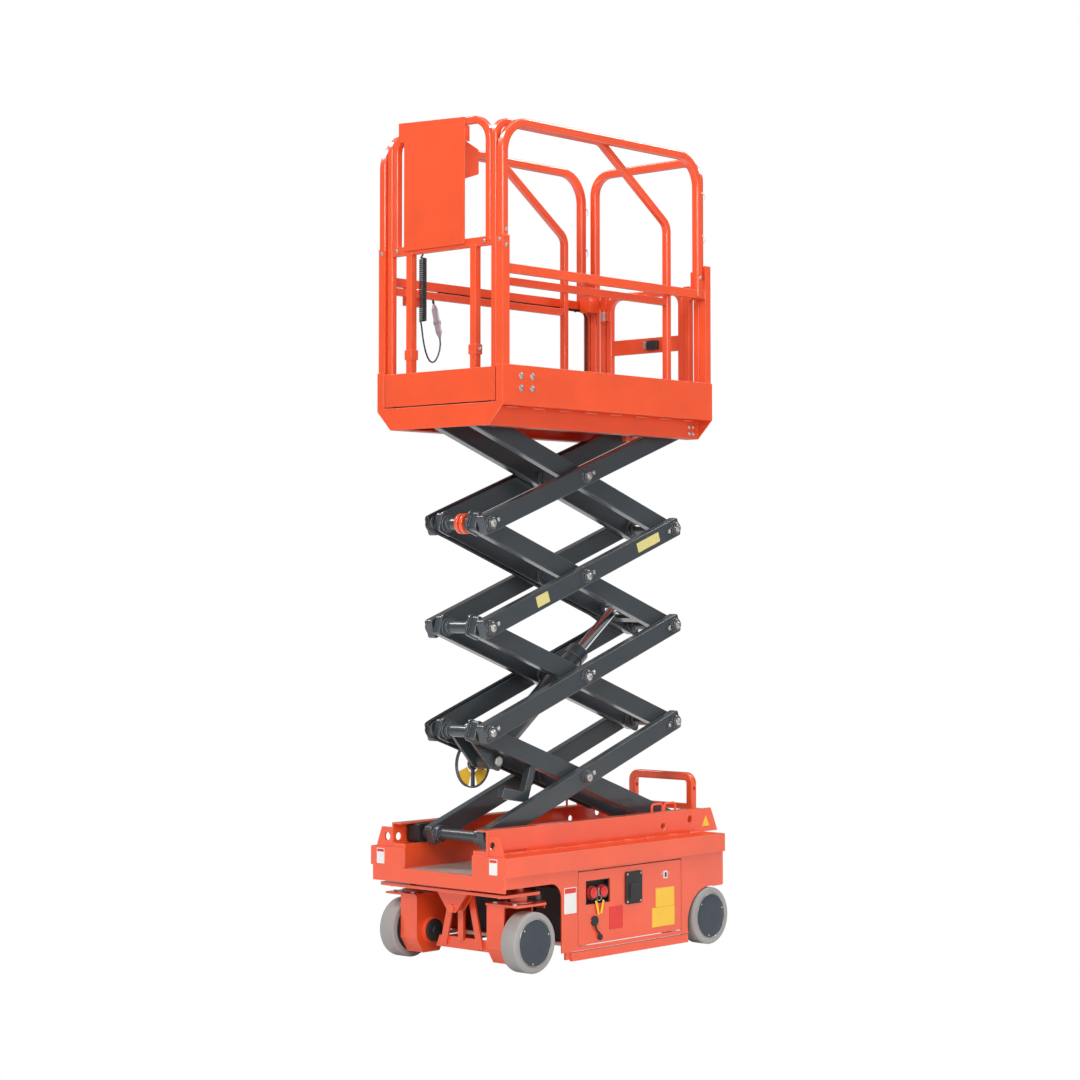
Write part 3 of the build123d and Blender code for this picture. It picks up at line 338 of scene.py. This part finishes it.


# %% [markdown]
# ## Control lead
# The lead leaves the bottom of the control box as a curly cord, hangs under the front rail, and
# ends in an in-line connector. A row of rings could stand for the curls, but a real lead is one
# cord: the helix and the loose loop are points of one spline, read back as a line, and a round
# section follows it. It runs between the roll-out deck and the platform, two different bodies,
# and rides on neither.

# %% Lead with its curly part
CORD_SIZE = 0.007
COIL_AT, COIL_RADIUS = np.array([0.694, -0.125]), 0.0132
COIL_TOP, COIL_FOOT, TURNS = 2.852, 2.596, 33
angle = np.linspace(0, 2 * np.pi * TURNS, TURNS * 12 + 1)
height = COIL_TOP - (COIL_TOP - COIL_FOOT) * angle / angle[-1]
helix = np.stack([COIL_AT[0] + COIL_RADIUS * np.cos(angle), COIL_AT[1] + COIL_RADIUS * np.sin(angle), height], -1)
loose = [(0.700, -0.126, 2.576), (0.693, -0.127, 2.532), (0.664, -0.140, 2.472), (0.614, -0.165, 2.437),
         (0.560, -0.192, 2.440), (0.506, -0.222, 2.472), (0.458, -0.253, 2.528), (0.4541, -0.2638, 2.5554)]
route = np.concatenate([[(0.694, -0.125, 2.868)], [(0.700, -0.125, 2.860)], helix, loose])
line = bpy.data.curves.new("lead_line", "CURVE")
line.dimensions = "3D"
line.resolution_u = 2
spline = line.splines.new("NURBS")
spline.points.add(len(route) - 1)
spline.points.foreach_set("co", np.column_stack([route, np.ones(len(route))]).ravel())
spline.order_u = 3
spline.use_endpoint_u = True
holder = bpy.data.objects.new("lead_line", line)
bpy.context.scene.collection.objects.link(holder)
bpy.context.view_layer.update()
read = bpy.data.meshes.new_from_object(holder.evaluated_get(bpy.context.evaluated_depsgraph_get()))
lead_path = np.array([v.co for v in read.vertices], float)
bpy.data.objects.remove(holder)
control_lead = piece("control_lead", [swept(lead_path, CORD_SIZE / 2, 8)], None, "cable")
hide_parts("coil", "lead")
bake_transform(control_lead)

# %% [markdown]
# ## Floor, backdrop and light
# The photograph is a studio shot cut out on white. A sheet of white card behind the machine
# would need much light of its own, so floor and world are plain white only where the camera
# looks at them, and give a quiet bounce otherwise. Three large soft lamps light the machine at
# a plain level, so that the paint looks as it is written. Two more stand high behind it, where
# round rails and arm edges mirror them as the thin bright lines that the photograph has.

# %% Studio
FLOOR_REACH, FLOOR_LINES, FLOOR_DROP = 30, 7, 0.0015
lines = np.linspace(-FLOOR_REACH, FLOOR_REACH, FLOOR_LINES)
x, y = np.meshgrid(lines, lines, indexing="ij")
grid = np.stack([x, y, 0 * x - FLOOR_DROP], -1).reshape(-1, 3)
index = np.arange(FLOOR_LINES ** 2).reshape(FLOOR_LINES, FLOOR_LINES)
floor_faces = np.stack([index[:-1, :-1], index[1:, :-1], index[1:, 1:], index[:-1, 1:]], -1).reshape(-1, 4)
floor_mesh = bpy.data.meshes.new("floor")
floor_mesh.from_pydata(grid.tolist(), [], floor_faces.tolist())
floor = bpy.data.objects.new("floor", floor_mesh)
bpy.context.scene.collection.objects.link(floor)
pale = bpy.data.materials.new("studio_floor")
pale.use_nodes = True
nodes, links = pale.node_tree.nodes, pale.node_tree.links
nodes["Principled BSDF"].inputs["Base Color"].default_value = (0.86, 0.86, 0.86, 1)
nodes["Principled BSDF"].inputs["Roughness"].default_value = 0.9
glow = nodes.new("ShaderNodeEmission")
glow.inputs["Strength"].default_value = 1.0
blend = nodes.new("ShaderNodeMixShader")
ray = nodes.new("ShaderNodeLightPath")
links.new(ray.outputs["Is Camera Ray"], blend.inputs["Fac"])
links.new(nodes["Principled BSDF"].outputs["BSDF"], blend.inputs[1])
links.new(glow.outputs["Emission"], blend.inputs[2])
links.new(blend.outputs["Shader"], nodes["Material Output"].inputs["Surface"])
floor_mesh.materials.append(pale)

world = bpy.data.worlds.new("studio")
bpy.context.scene.world = world
world.use_nodes = True
nodes, links = world.node_tree.nodes, world.node_tree.links
lit, seen = nodes["Background"], nodes.new("ShaderNodeBackground")
lit.inputs["Color"].default_value = (0.95, 0.97, 1.0, 1)
lit.inputs["Strength"].default_value = 0.25
seen.inputs["Color"].default_value = (1, 1, 1, 1)
ray, pick = nodes.new("ShaderNodeLightPath"), nodes.new("ShaderNodeMath")
both = nodes.new("ShaderNodeMixShader")
pick.operation = "MAXIMUM"
links.new(ray.outputs["Is Camera Ray"], pick.inputs[0])
links.new(ray.outputs["Is Transmission Ray"], pick.inputs[1])
links.new(pick.outputs["Value"], both.inputs["Fac"])
links.new(lit.outputs["Background"], both.inputs[1])
links.new(seen.outputs["Background"], both.inputs[2])
links.new(both.outputs["Shader"], nodes["World Output"].inputs["Surface"])

AIM = Vector((0, 0, 1.6))
LAMPS = (
    ("key", (7.5, 3.0, 5.5), 430, 3.0),
    ("side", (1.5, 8.5, 3.5), 200, 3.0),
    ("top", (0.0, 0.0, 8.0), 110, 4.0),
    ("rim_left", (-5.9, 2.4, 8.2), 420, 2.6),
    ("rim_right", (2.4, -5.6, 8.2), 320, 2.6),
)
for name, at, power, size in LAMPS:
    light = bpy.data.lights.new(name, "AREA")
    light.energy, light.size = power, size
    lamp = bpy.data.objects.new(name, light)
    bpy.context.scene.collection.objects.link(lamp)
    lamp.location = at
    lamp.rotation_euler = (AIM - Vector(at)).to_track_quat("-Z", "Y").to_euler()
bpy.context.scene.view_settings.view_transform = "Standard"
print("lamps:", [lamp[0] for lamp in LAMPS])

# %% [markdown]
# ## Wheel covers
# Each wheel has a flat slate disc over its centre, with a thin bright rim and small screws near
# its edge. A painted circle would look right from the front only. A turned profile gives the
# disc its rounded lip, which catches the light from any side.

# %% Wheel covers
FRONT_WHEEL, REAR_WHEEL, AXLE = 0.568, -0.542, 0.120
WHEELS = (("fl", FRONT_WHEEL, 1), ("fr", FRONT_WHEEL, -1), ("rl", REAR_WHEEL, 1), ("rr", REAR_WHEEL, -1))
COVER = [(0.0915, -0.0015), (0.0915, 0.0006), (0.0895, 0.0016), (0.060, 0.0020), (0.02, 0.0022)]
COVER_SCREW = [(0.0038, 0), (0.0038, 0.0016), (0.0026, 0.0024)]
for corner, x, side in WHEELS:
    out = (0, side, 0)
    at = np.array([x, side * 0.3768, AXLE])
    piece("cover_" + corner, [turned(COVER, at, out, 64)], "wheel_" + corner, "slate")
    rim = [doughnut(at + [0, side * 0.0006, 0], out, 0.0922, 0.0013, 72, 8)]
    for a in np.radians([40.0, 160.0, 280.0]):
        spot = at + [0.082 * np.cos(a), side * 0.0006, 0.082 * np.sin(a)]
        rim.append(turned(COVER_SCREW, spot, out, 14))
    piece("cover_rim_" + corner, rim, "wheel_" + corner, "steel")
    lip = [doughnut((x, side * 0.3766, AXLE), out, 0.1035, 0.0018, 72, 8, 0.6)]
    piece("tyre_line_" + corner, lip, "wheel_" + corner, "tyre")

# %% [markdown]
# ## Arms: pins, keepers and labels
# Every pin of the scissor shows a round boss outside the arm, with a bright bolt in it and a
# small keeper bolt beside it. They could be placed one by one, but all places follow from the
# arms' pitch and angle, so one function serves all levels. The labels on one outer arm are
# blank.

# %% Where the pins are
PITCH, ANGLE, REAR_X, LOW_Z = 1.240, np.radians(19.7), -0.567, 0.518
RISE = PITCH * np.sin(ANGLE)
ALONG_IN = np.array([np.cos(ANGLE), 0, np.sin(ANGLE)])
ALONG_OUT = np.array([np.cos(ANGLE), 0, -np.sin(ANGLE)])
UP_IN = np.array([-np.sin(ANGLE), 0, np.cos(ANGLE)])
UP_OUT = np.array([np.sin(ANGLE), 0, np.cos(ANGLE)])


def on_inner(level, x, z, y):
    """Point of an inner arm: rear pin plus x along the arm and z across it."""
    return np.array([REAR_X, y, LOW_Z + (level - 1) * RISE]) + x * ALONG_IN + z * UP_IN


def on_outer(level, x, z, y):
    """The same for an outer arm, which rises to the rear."""
    return np.array([REAR_X, y, LOW_Z + level * RISE]) + x * ALONG_OUT + z * UP_OUT


# %% Pin bosses and their bolts
BOSS = [(0.024, -0.002), (0.024, 0.0055), (0.021, 0.0085), (0.0165, 0.0095), (0.008, 0.0095)]
KEEPER_SHIFT, ARM_FACE = 0.045, 0.1652
for level in (1, 2, 3, 4):
    caps, bright = [], []
    for x in ((0.0, PITCH / 2) if level == 1 else (0.0, PITCH / 2, PITCH)):
        shift = KEEPER_SHIFT if x == 0 else -KEEPER_SHIFT
        for side in (1, -1):
            out = (0, side, 0)
            caps.append(turned(BOSS, on_outer(level, x, 0, side * 0.1742), out, 32))
            bright += bolt(on_outer(level, x, 0, side * 0.1835), out, 0.0105)
            caps.append(slab(0.052, 0.020, on_outer(level, x + shift * 0.7, 0, side * ARM_FACE), out,
                             ALONG_OUT * side, 0.006, 0.008, 0.001))
            bright += bolt(on_outer(level, x + shift, 0, side * 0.1712), out, 0.0055)
    body = "outer_" + str(level)
    piece("pin_bosses_" + str(level), caps, body, "arm")
    piece("pin_bolts_" + str(level), bright, body, "steel")

# %% Blank labels on the third outer arm
for name, x0, width, height in (("label_long", 0.190, 0.155, 0.042), ("label_short", 0.908, 0.078, 0.046)):
    piece(name, [slab(width, height, on_outer(3, x0, 0, ARM_FACE), LEFT, -ALONG_OUT, 0.0008, 0.003)],
          "outer_3", "cream")

# %% [markdown]
# ## Weld beads
# The frames are welded, and a bead shows wherever a tube meets a plate. A bump in the paint
# could draw the ripples, but the joint's outline would stay sharp. So a bead is a thin round
# section along the joint, whose radius swells every few millimetres, as the melt does.

# %% Beads around the cross tubes
for level in (1, 2, 3, 4):
    rings = []
    for x in ((0.0,) if level == 4 else (0.0, PITCH)):
        for side in (1, -1):
            rings.append(doughnut(on_inner(level, x, 0, side * 0.0712), LEFT, 0.0345, 0.0026, 40, 8))
            rings.append(doughnut(on_inner(level, x, 0, side * 0.0545), LEFT, 0.0262, 0.0026, 40, 8))
    piece("tube_beads_" + str(level), rings, "inner_" + str(level), "arm")

# %% Stitches on the tracks, plates and rails
stitches = []
for side in (1, -1):
    for x in np.arange(-0.60, 0.42, 0.145):
        stitches.append(bead((x, side * 0.266, 0.4625), (x + 0.062, side * 0.266, 0.4625)))
    stitches.append(bead((0.7255, side * 0.268, 0.464), (0.7255, side * 0.268, 0.540)))
    stitches.append(bead((0.714, side * 0.268, 0.4625), (0.714, side * 0.352, 0.4625)))
    stitches.append(bead((0.7275, side * 0.190, 0.386), (0.7275, side * 0.190, 0.458)))
    stitches.append(bead((-0.6395, side * 0.175, 0.325), (-0.6395, side * 0.175, 0.347)))
piece("chassis_stitches", stitches, "chassis", "orange")

rail_beads = []
for side in (1, -1):
    for x in np.arange(-0.56, 0.60, 0.16):
        rail_beads.append(bead((x, side * 0.2765, 2.2335), (x + 0.07, side * 0.2765, 2.2335)))
    rail_beads.append(bead((0.7262, side * 0.318, 2.25), (0.7262, side * 0.318, 2.39), 0.002))
    rail_beads.append(bead((0.690, side * 0.344, 2.757), (0.690, side * 0.344, 2.793)))
    rail_beads.append(bead((-0.556, side * 0.344, 2.757), (-0.556, side * 0.344, 2.793)))
    rail_beads.append(bead((0.6875, side * 0.349, 2.9005), (0.7255, side * 0.349, 2.9005)))
piece("platform_beads", rail_beads, "platform", "orange")

# %% [markdown]
# ## Bolts, pins and small fittings
# A bolt is a turned washer with a six-sided head. It is small enough that only its glint shows,
# and a flat bright dot would glint in one direction only, so even these are real heads. The
# locking pins of the folding rails hang on thin rings.

# %% Platform bolts and rail pins
TOE_SIDE, CHANNEL_SIDE, RAIL_SIDE = 0.3522, 0.2752, 0.3492
bright = []
for x in (0.555, 0.622):
    for z in (2.302, 2.350):
        for side in (1, -1):
            bright += bolt((x, side * TOE_SIDE, z), (0, side, 0), 0.0085)
for x in (-0.535, -0.562):
    for z in (2.180, 2.208):
        for side in (1, -1):
            bright += bolt((x, side * CHANNEL_SIDE, z), (0, side, 0), 0.0065)
for side in (1, -1):
    for x, z in ((0.705, 2.925), (0.705, 2.862), (-0.520, 2.845)):
        bright += bolt((x, side * RAIL_SIDE, z), (0, side, 0), 0.0055)
    bright += bolt((0.7262, side * 0.331, 2.885), FRONT, 0.005)
    for z in (3.215, 3.03):
        bright.append(swept([(x, side * 0.331, z) for x in (-0.5415, -0.5495, -0.5575)], 0.0045))
        bright.append(doughnut((-0.5495, side * 0.335, z - 0.017), (1, 0.3, 0), 0.015, 0.0014, 28, 6))
piece("platform_bolts", bright, "platform", "steel")

# %% Harness clips
clips = [doughnut((x, -0.3315, 2.752), FRONT, 0.0060, 0.0022, 20, 8, 2.0)
         for x in np.arange(-0.48, 0.40, 0.145)]
piece("harness_clips", clips, "platform", "black")

# %% Gate latch, spring hinge and clamp knobs
LATCH_X, LATCH_Z = -0.5650, 2.578
case = slab(0.062, 0.040, (LATCH_X, 0.050, LATCH_Z), FRONT, LEFT, 0.018, 0.008, 0.003)
piece("gate_latch", [case], "gate", "black")
slide = slab(0.022, 0.030, (LATCH_X, 0.012, LATCH_Z), FRONT, LEFT, 0.014, 0.004, 0.002)
piece("gate_latch_slide", [slide], "gate", "steel")
coils = [doughnut((-0.5480, -0.2220, z), UP, 0.0105, 0.0022, 24, 6) for z in np.arange(2.703, 2.742, 0.0052)]
piece("hinge_spring", coils, "gate", "steel")
knob = [(0.0075, 0), (0.0075, 0.010), (0.0055, 0.013)]
knobs = []
for side in (1, -1):
    knobs.append(turned(knob, (0.705, side * 0.200, 2.462), (0, side, 0), 18))
    knobs += bolt((0.7242, side * 0.246, 2.8875), FRONT, 0.0055)
piece("clamp_knobs", knobs, "extension", "steel")

# %% [markdown]
# ## Left tray: controls, stickers and the charging lead
# The door of the left tray carries what the operator needs from the ground: two stop buttons in
# a black pocket, a paddle latch, a key with its tags and the charging inlet. The stickers could
# be part of the paint, but real ones have an edge, so each is a thin plate. They keep their
# colours and stay blank.

# %% Stop buttons and keys
DOOR = 0.368
dome = [(0.0265, 0.0), (0.0275, 0.006), (0.0272, 0.013), (0.0235, 0.0195), (0.015, 0.0235), (0.005, 0.0245)]
buttons = [turned(dome, (x, 0.3535, 0.284), LEFT, 40) for x in (0.212, 0.148)]
piece("stop_buttons", buttons, "tray_left", "red")
shank = smooth_route([(0.180, 0.3715, 0.300), (0.183, 0.3735, 0.286), (0.181, 0.3735, 0.270)])
tags = [doughnut((0.180, 0.3735, 0.262), (0.2, 1, 0.1), 0.011, 0.0012, 28, 6), swept(shank, 0.0025, 8)]
piece("key_ring", tags, "tray_left", "steel")
straps = [slab(0.012, 0.060, (0.190, 0.3725, 0.222), LEFT, (-0.96, 0, 0.28), 0.0016, 0.003),
          slab(0.012, 0.056, (0.160, 0.3725, 0.224), LEFT, (-0.96, 0, -0.28), 0.0016, 0.003)]
piece("key_tags", straps, "tray_left", "yellow")

# %% Charging inlet, its lead and plug
flange = [(0.021, 0), (0.021, 0.005), (0.016, 0.008), (0.010, 0.008)]
plug = [(0.012, 0), (0.013, 0.008), (0.009, 0.011)]
short_lead = smooth_route([(0.203, 0.3745, 0.160), (0.203, 0.3755, 0.146), (0.194, 0.3755, 0.130),
                           (0.182, 0.3755, 0.122), (0.174, 0.3755, 0.112)])
inlet = [turned(flange, (0.203, DOOR, 0.170), LEFT, 32), turned(plug, (0.172, 0.3675, 0.103), LEFT, 24),
         swept(short_lead, 0.004, 12)]
piece("charging_inlet", inlet, "tray_left", "black")

# %% Screws and the small socket
latch_screw = [(0.0045, 0), (0.0045, 0.0018), (0.003, 0.0026)]
socket_screw = [(0.0038, 0), (0.0038, 0.0016), (0.002, 0.0022)]
small_screw = [(0.0035, 0), (0.0035, 0.0016), (0.002, 0.0022)]
screws = [turned(latch_screw, (x, 0.3740, z), LEFT, 16) for x in (-0.082, 0.002) for z in (0.228, 0.340)]
screws += [turned(socket_screw, (x, DOOR, 0.324), LEFT, 14) for x in (-0.226, -0.272)]
screws += [turned(small_screw, (x, DOOR, z), LEFT, 14)
           for x, z in ((-0.196, 0.266), (0.190, 0.180), (0.224, 0.172))]
piece("tray_screws", screws, "tray_left", "steel")
socket = slab(0.026, 0.032, (-0.249, DOOR, 0.318), LEFT, REARWARD, 0.002, 0.004)
piece("small_socket", [socket], "tray_left", "white")
# The opening is a flat black plate: painted shade where the socket is hollow.
hole = slab(0.012, 0.020, (-0.249, 0.3699, 0.318), LEFT, REARWARD, 0.001, 0.002)
piece("socket_hole", [hole], "tray_left", "black")

# %% Blank stickers
def sticker(name, width, height, at, normal, right, body, kind):
    """Blank sticker: a thin rounded plate, its coat a fraction of a millimetre thick."""
    return piece(name, [slab(width, height, at, normal, right)], body, kind)


ON_DOOR, ON_STICKER = DOOR + 0.0001, DOOR + 0.0007
sticker("sticker_red", 0.086, 0.092, (0.068, ON_DOOR, 0.172), LEFT, REARWARD, "tray_left", "red")
sticker("sticker_upper", 0.122, 0.078, (-0.246, ON_DOOR, 0.226), LEFT, REARWARD, "tray_left", "yellow")
sticker("sticker_lower", 0.148, 0.080, (-0.235, ON_DOOR, 0.146), LEFT, REARWARD, "tray_left", "yellow")
sticker("sticker_side", 0.074, 0.104, (0.350, ON_DOOR, 0.265), LEFT, REARWARD, "chassis", "white")
sticker("sticker_side_head", 0.068, 0.020, (0.350, ON_STICKER, 0.304), LEFT, REARWARD, "chassis", "red")
for name, y in (("near", 0.306), ("far", -0.323)):
    sticker("front_sticker_" + name, 0.044, 0.062, (0.7331, y, 0.424), FRONT, LEFT, "chassis", "white")
    sticker("front_head_" + name, 0.040, 0.011, (0.7337, y, 0.4465), FRONT, LEFT, "chassis", "red")
corners = np.radians([90.0, 210.0, 330.0])
flat = np.stack([np.cos(corners), 0 * corners, np.sin(corners)], -1)
size = np.array([0.0300, 0.0300, 0.0295])[:, None, None]
lift = np.array([-0.0005, 0.0007, 0.0009])[:, None, None] * np.array(LEFT)
triangles = [ring_shell(size * flat + side * lift + (-0.651, side * 0.2652, 0.500)) for side in (1, -1)]
piece("tail_triangles", triangles, "chassis", "yellow")

# %% [markdown]
# ## Floor plates
# The well between the tracks and the two decks are bare plate, so each gets a thin sheet over
# its painted solid. The decks have small raised studs. A bump could show them from above, but
# they are seen nearly edge-on, so they are a height field with a cosine pattern.

# %% Studded sheets
STUD_GRID, STUD_WAVE, SHEET = 0.010, 95.0, 0.0012


def sheet_plate(name, low, high, top, body, kind, studs=0.0):
    """Height field z = top + studs * |cos w(x+y) cos w(x-y)|^5 on a rectangle, walls and a base."""
    span = np.subtract(high, low)
    rows, cols = (np.maximum(2, span / STUD_GRID)).astype(int) if studs else (2, 2)
    x, y = np.linspace(low[0], high[0], rows), np.linspace(low[1], high[1], cols)
    x, y = np.meshgrid(x, y, indexing="ij")
    wave = np.abs(np.cos(STUD_WAVE * (x + y)) * np.cos(STUD_WAVE * (x - y))) ** 5
    upper = np.stack([x, y, top + studs * wave], -1)
    lower = np.stack([x, y, 0 * x + top - SHEET], -1)
    index = np.arange(rows * cols).reshape(rows, cols)
    quad = np.stack([index[:-1, :-1], index[1:, :-1], index[1:, 1:], index[:-1, 1:]], -1).reshape(-1, 4)
    rim = np.concatenate([index[0, :-1], index[:-1, -1], index[-1, :0:-1], index[:0:-1, 0]])
    after = np.roll(rim, -1)
    base = rows * cols
    wall = np.stack([rim, after, after + base, rim + base], -1)
    faces = quad.tolist() + (quad[:, ::-1] + base).tolist() + wall.tolist()
    points = np.concatenate([upper.reshape(-1, 3), lower.reshape(-1, 3)])
    return piece(name, [(points, faces)], body, kind)


sheet_plate("well_sheet", (-0.60, -0.182), (0.722, 0.182), 0.3822, "chassis", "well")
sheet_plate("roll_out_sheet", (-0.396, -0.270), (0.716, 0.270), 2.2614, "extension", "deck", 0.0012)
sheet_plate("rear_sheet", (-0.588, -0.300), (-0.405, 0.300), 2.2474, "platform", "deck", 0.0012)

# %% [markdown]
# ## Cables up the scissor
# Two cables climb the far side: under an inner arm, round its front pin, over the next outer
# arm, and on to the next level. One long cable would tear when the arms turn. So the straight
# runs ride on their arms, and each loop round a pin is a piece of its own, riding on no body.

# %% Cable runs and loops
CABLE, BESIDE = 0.0045, np.array([0, 0.012, 0])
OFF_ARM, INNER_Y, OUTER_Y = 0.0445, -0.105, -0.151
LOOP_X = PITCH - 0.10


def two_cables(name, line, body):
    """Two round sections side by side along one line."""
    return piece(name, [swept(line, CABLE), swept(line + BESIDE, CABLE)], body, "cable")


def cable_run(name, start, end, body):
    """Two cables along a straight run."""
    return two_cables(name, np.linspace(0, 1, 24)[:, None] * (end - start) + start, body)


def cable_loop(name, points):
    """Two cables along a smooth bend, riding on no body."""
    made = two_cables(name, smooth_route(points, 10), None)
    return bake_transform(made)


for level in (1, 3):
    above, inner, outer = level + 1, "inner_" + str(level), "outer_" + str(level + 1)
    low_end = on_inner(level, LOOP_X, -OFF_ARM, INNER_Y)
    high_end = on_outer(above, LOOP_X, OFF_ARM, OUTER_Y)
    cable_run("cable_" + inner, on_inner(level, 0.26, -OFF_ARM, INNER_Y), low_end, inner)
    cable_run("cable_" + outer, high_end, on_outer(above, 0.24, OFF_ARM, OUTER_Y), outer)
    front = on_inner(level, PITCH, 0, -0.13)
    bend = [low_end, on_inner(level, PITCH - 0.03, -OFF_ARM, -0.106),
            on_inner(level, PITCH + 0.045, -OFF_ARM, -0.112), front + [0.066, 0, -0.012],
            front + [0.064, 0, 0.020], on_outer(above, PITCH + 0.045, OFF_ARM, -0.146),
            on_outer(above, PITCH - 0.03, OFF_ARM, -0.150), high_end]
    cable_loop("cable_front_" + str(level), bend)
bend = [on_outer(2, 0.24, OFF_ARM, OUTER_Y), on_outer(2, 0.19, 0.0470, -0.150),
        on_outer(2, 0.15, 0.058, -0.140), on_inner(3, 0.15, -0.058, -0.118),
        on_inner(3, 0.20, -0.0470, -0.106), on_inner(3, 0.26, -OFF_ARM, INNER_Y)]
cable_loop("cable_rear_2", bend)

# %% [markdown]
# ## Cylinder and guard hoop
# The pin ends at both eyes of the lift cylinder are bare steel, and the guard hoop beside its
# foot carries two yellow plates. An orange clamp sits on the upper cross tube, and a hose runs
# up the barrel. The plates could be cut from a disc, but a grid of radius and angle gives their
# curved edges directly.

# %% Pin ends, hoop plates and clamp
BASE_X, BASE_Z, EYE_X = PITCH - 0.190, -0.066, 0.220
base_end = [(0.0205, -0.001), (0.0205, 0.004), (0.018, 0.006), (0.004, 0.006)]
ends = [turned(base_end, on_inner(1, BASE_X, BASE_Z, side * 0.0620), (0, side, 0), 32) for side in (1, -1)]
piece("base_pin_ends", ends, "inner_1", "steel")
eye_end = [(0.018, -0.001), (0.018, 0.003), (0.016, 0.005), (0.004, 0.005)]
ends = [turned(eye_end, on_inner(3, EYE_X, 0, side * 0.0600), (0, side, 0), 32) for side in (1, -1)]
piece("eye_pin_ends", ends, "inner_3", "steel")


def sector(level, x, z, inner, outer, first, last, low, high):
    """Curved plate: polar grid of radius and angle, closed as a ring of its four sides."""
    a = np.radians(np.linspace(first, last, 18))[:, None]
    radius = np.array([inner, outer, outer, inner])
    across = (np.array([low, low, high, high]) + 0 * a)[..., None] * np.array(LEFT)
    flat_x, flat_z = x + radius * np.cos(a), z + radius * np.sin(a)
    centre = np.array([REAR_X, 0, LOW_Z + (level - 1) * RISE])
    return ring_shell(centre + flat_x[..., None] * ALONG_IN + flat_z[..., None] * UP_IN + across)


HOOP_X, HOOP_Z = PITCH - 0.185, -0.085
plates = [sector(1, HOOP_X, HOOP_Z, 0.036, 0.090, first, last, -0.073, -0.069)
          for first, last in ((268, 322), (180, 232))]
piece("hoop_plates", plates, "inner_1", "yellow")
ring = [(0.0255, -0.009), (0.040, -0.009), (0.042, -0.006), (0.042, 0.006), (0.040, 0.009), (0.0255, 0.009)]
clamp = [turned(ring, on_inner(3, PITCH, 0, y), LEFT, 36) for y in (0.008, 0.034)]
piece("tube_clamp", clamp, "inner_3", "orange")

# %% Barrel hose and gland ring
BARREL_LENGTH, HOSE_SIDE = 0.6985, (0, -0.030, 0)
base, eye = on_inner(1, BASE_X, BASE_Z, 0), on_inner(3, EYE_X, 0, 0)
along = (eye - base) / np.linalg.norm(eye - base)
across = np.cross(along, LEFT)
gland = base + BARREL_LENGTH * along
collar = [(0.024, -0.002), (0.040, -0.002), (0.040, 0.006), (0.030, 0.010), (0.0235, 0.010)]
rings = [turned(collar, gland + 0.0125 * along, along, 40),
         doughnut(base + 0.12 * along, along, 0.0425, 0.003, 40, 8)]
piece("gland_rings", rings, "cylinder_barrel", "steel")
HOSE = ((0.10, 0.046), (0.16, 0.052), (0.36, 0.040), (0.56, 0.042), (0.62, 0.036))
hose = smooth_route([base + run * along + off * across + HOSE_SIDE for run, off in HOSE])
piece("barrel_hose", [swept(hose, 0.006, 12)], "cylinder_barrel", "cable")

# %% [markdown]
# ## Front axle
# Between the axle plate and the steering knuckles sit bright wear rings and bolts, and the
# knuckles carry round motor caps on their inner faces. They could be part of the solids, but
# they have another finish, so they are pieces of their own on the same bodies.

# %% Knuckle fittings
KINGPIN_Y, STEER_ARM = 0.290, 0.105
MOTOR_CAP = [(0.046, -0.001), (0.046, 0.006), (0.040, 0.010), (0.018, 0.011), (0.016, 0.016), (0.005, 0.017)]
for body, side in (("knuckle_left", 1), ("knuckle_right", -1)):
    fittings = [doughnut((FRONT_WHEEL, side * KINGPIN_Y, 0.2745), UP, 0.052, 0.0042, 48, 10, 0.8)]
    for y in (-0.06, 0.045):
        fittings += bolt((FRONT_WHEEL + 0.072, side * (KINGPIN_Y + y), 0.2702), UP, 0.009)
    fittings += bolt((FRONT_WHEEL - STEER_ARM, side * KINGPIN_Y, 0.2952), UP, 0.008)
    piece("bolts_" + body, fittings, body, "steel")
    cap = turned(MOTOR_CAP, (FRONT_WHEEL, side * 0.181, AXLE), (0, -side, 0), 40)
    piece("motor_cap_" + body, [cap], body, "black")
plate_bolts = []
for side in (1, -1):
    for x, y in ((0.66, 0.05), (0.66, 0.13), (0.60, 0.30), (0.69, 0.30)):
        plate_bolts += bolt((x, side * y, 0.3028), (0, 0, -1), 0.007)
piece("axle_bolts", plate_bolts, "chassis", "steel")
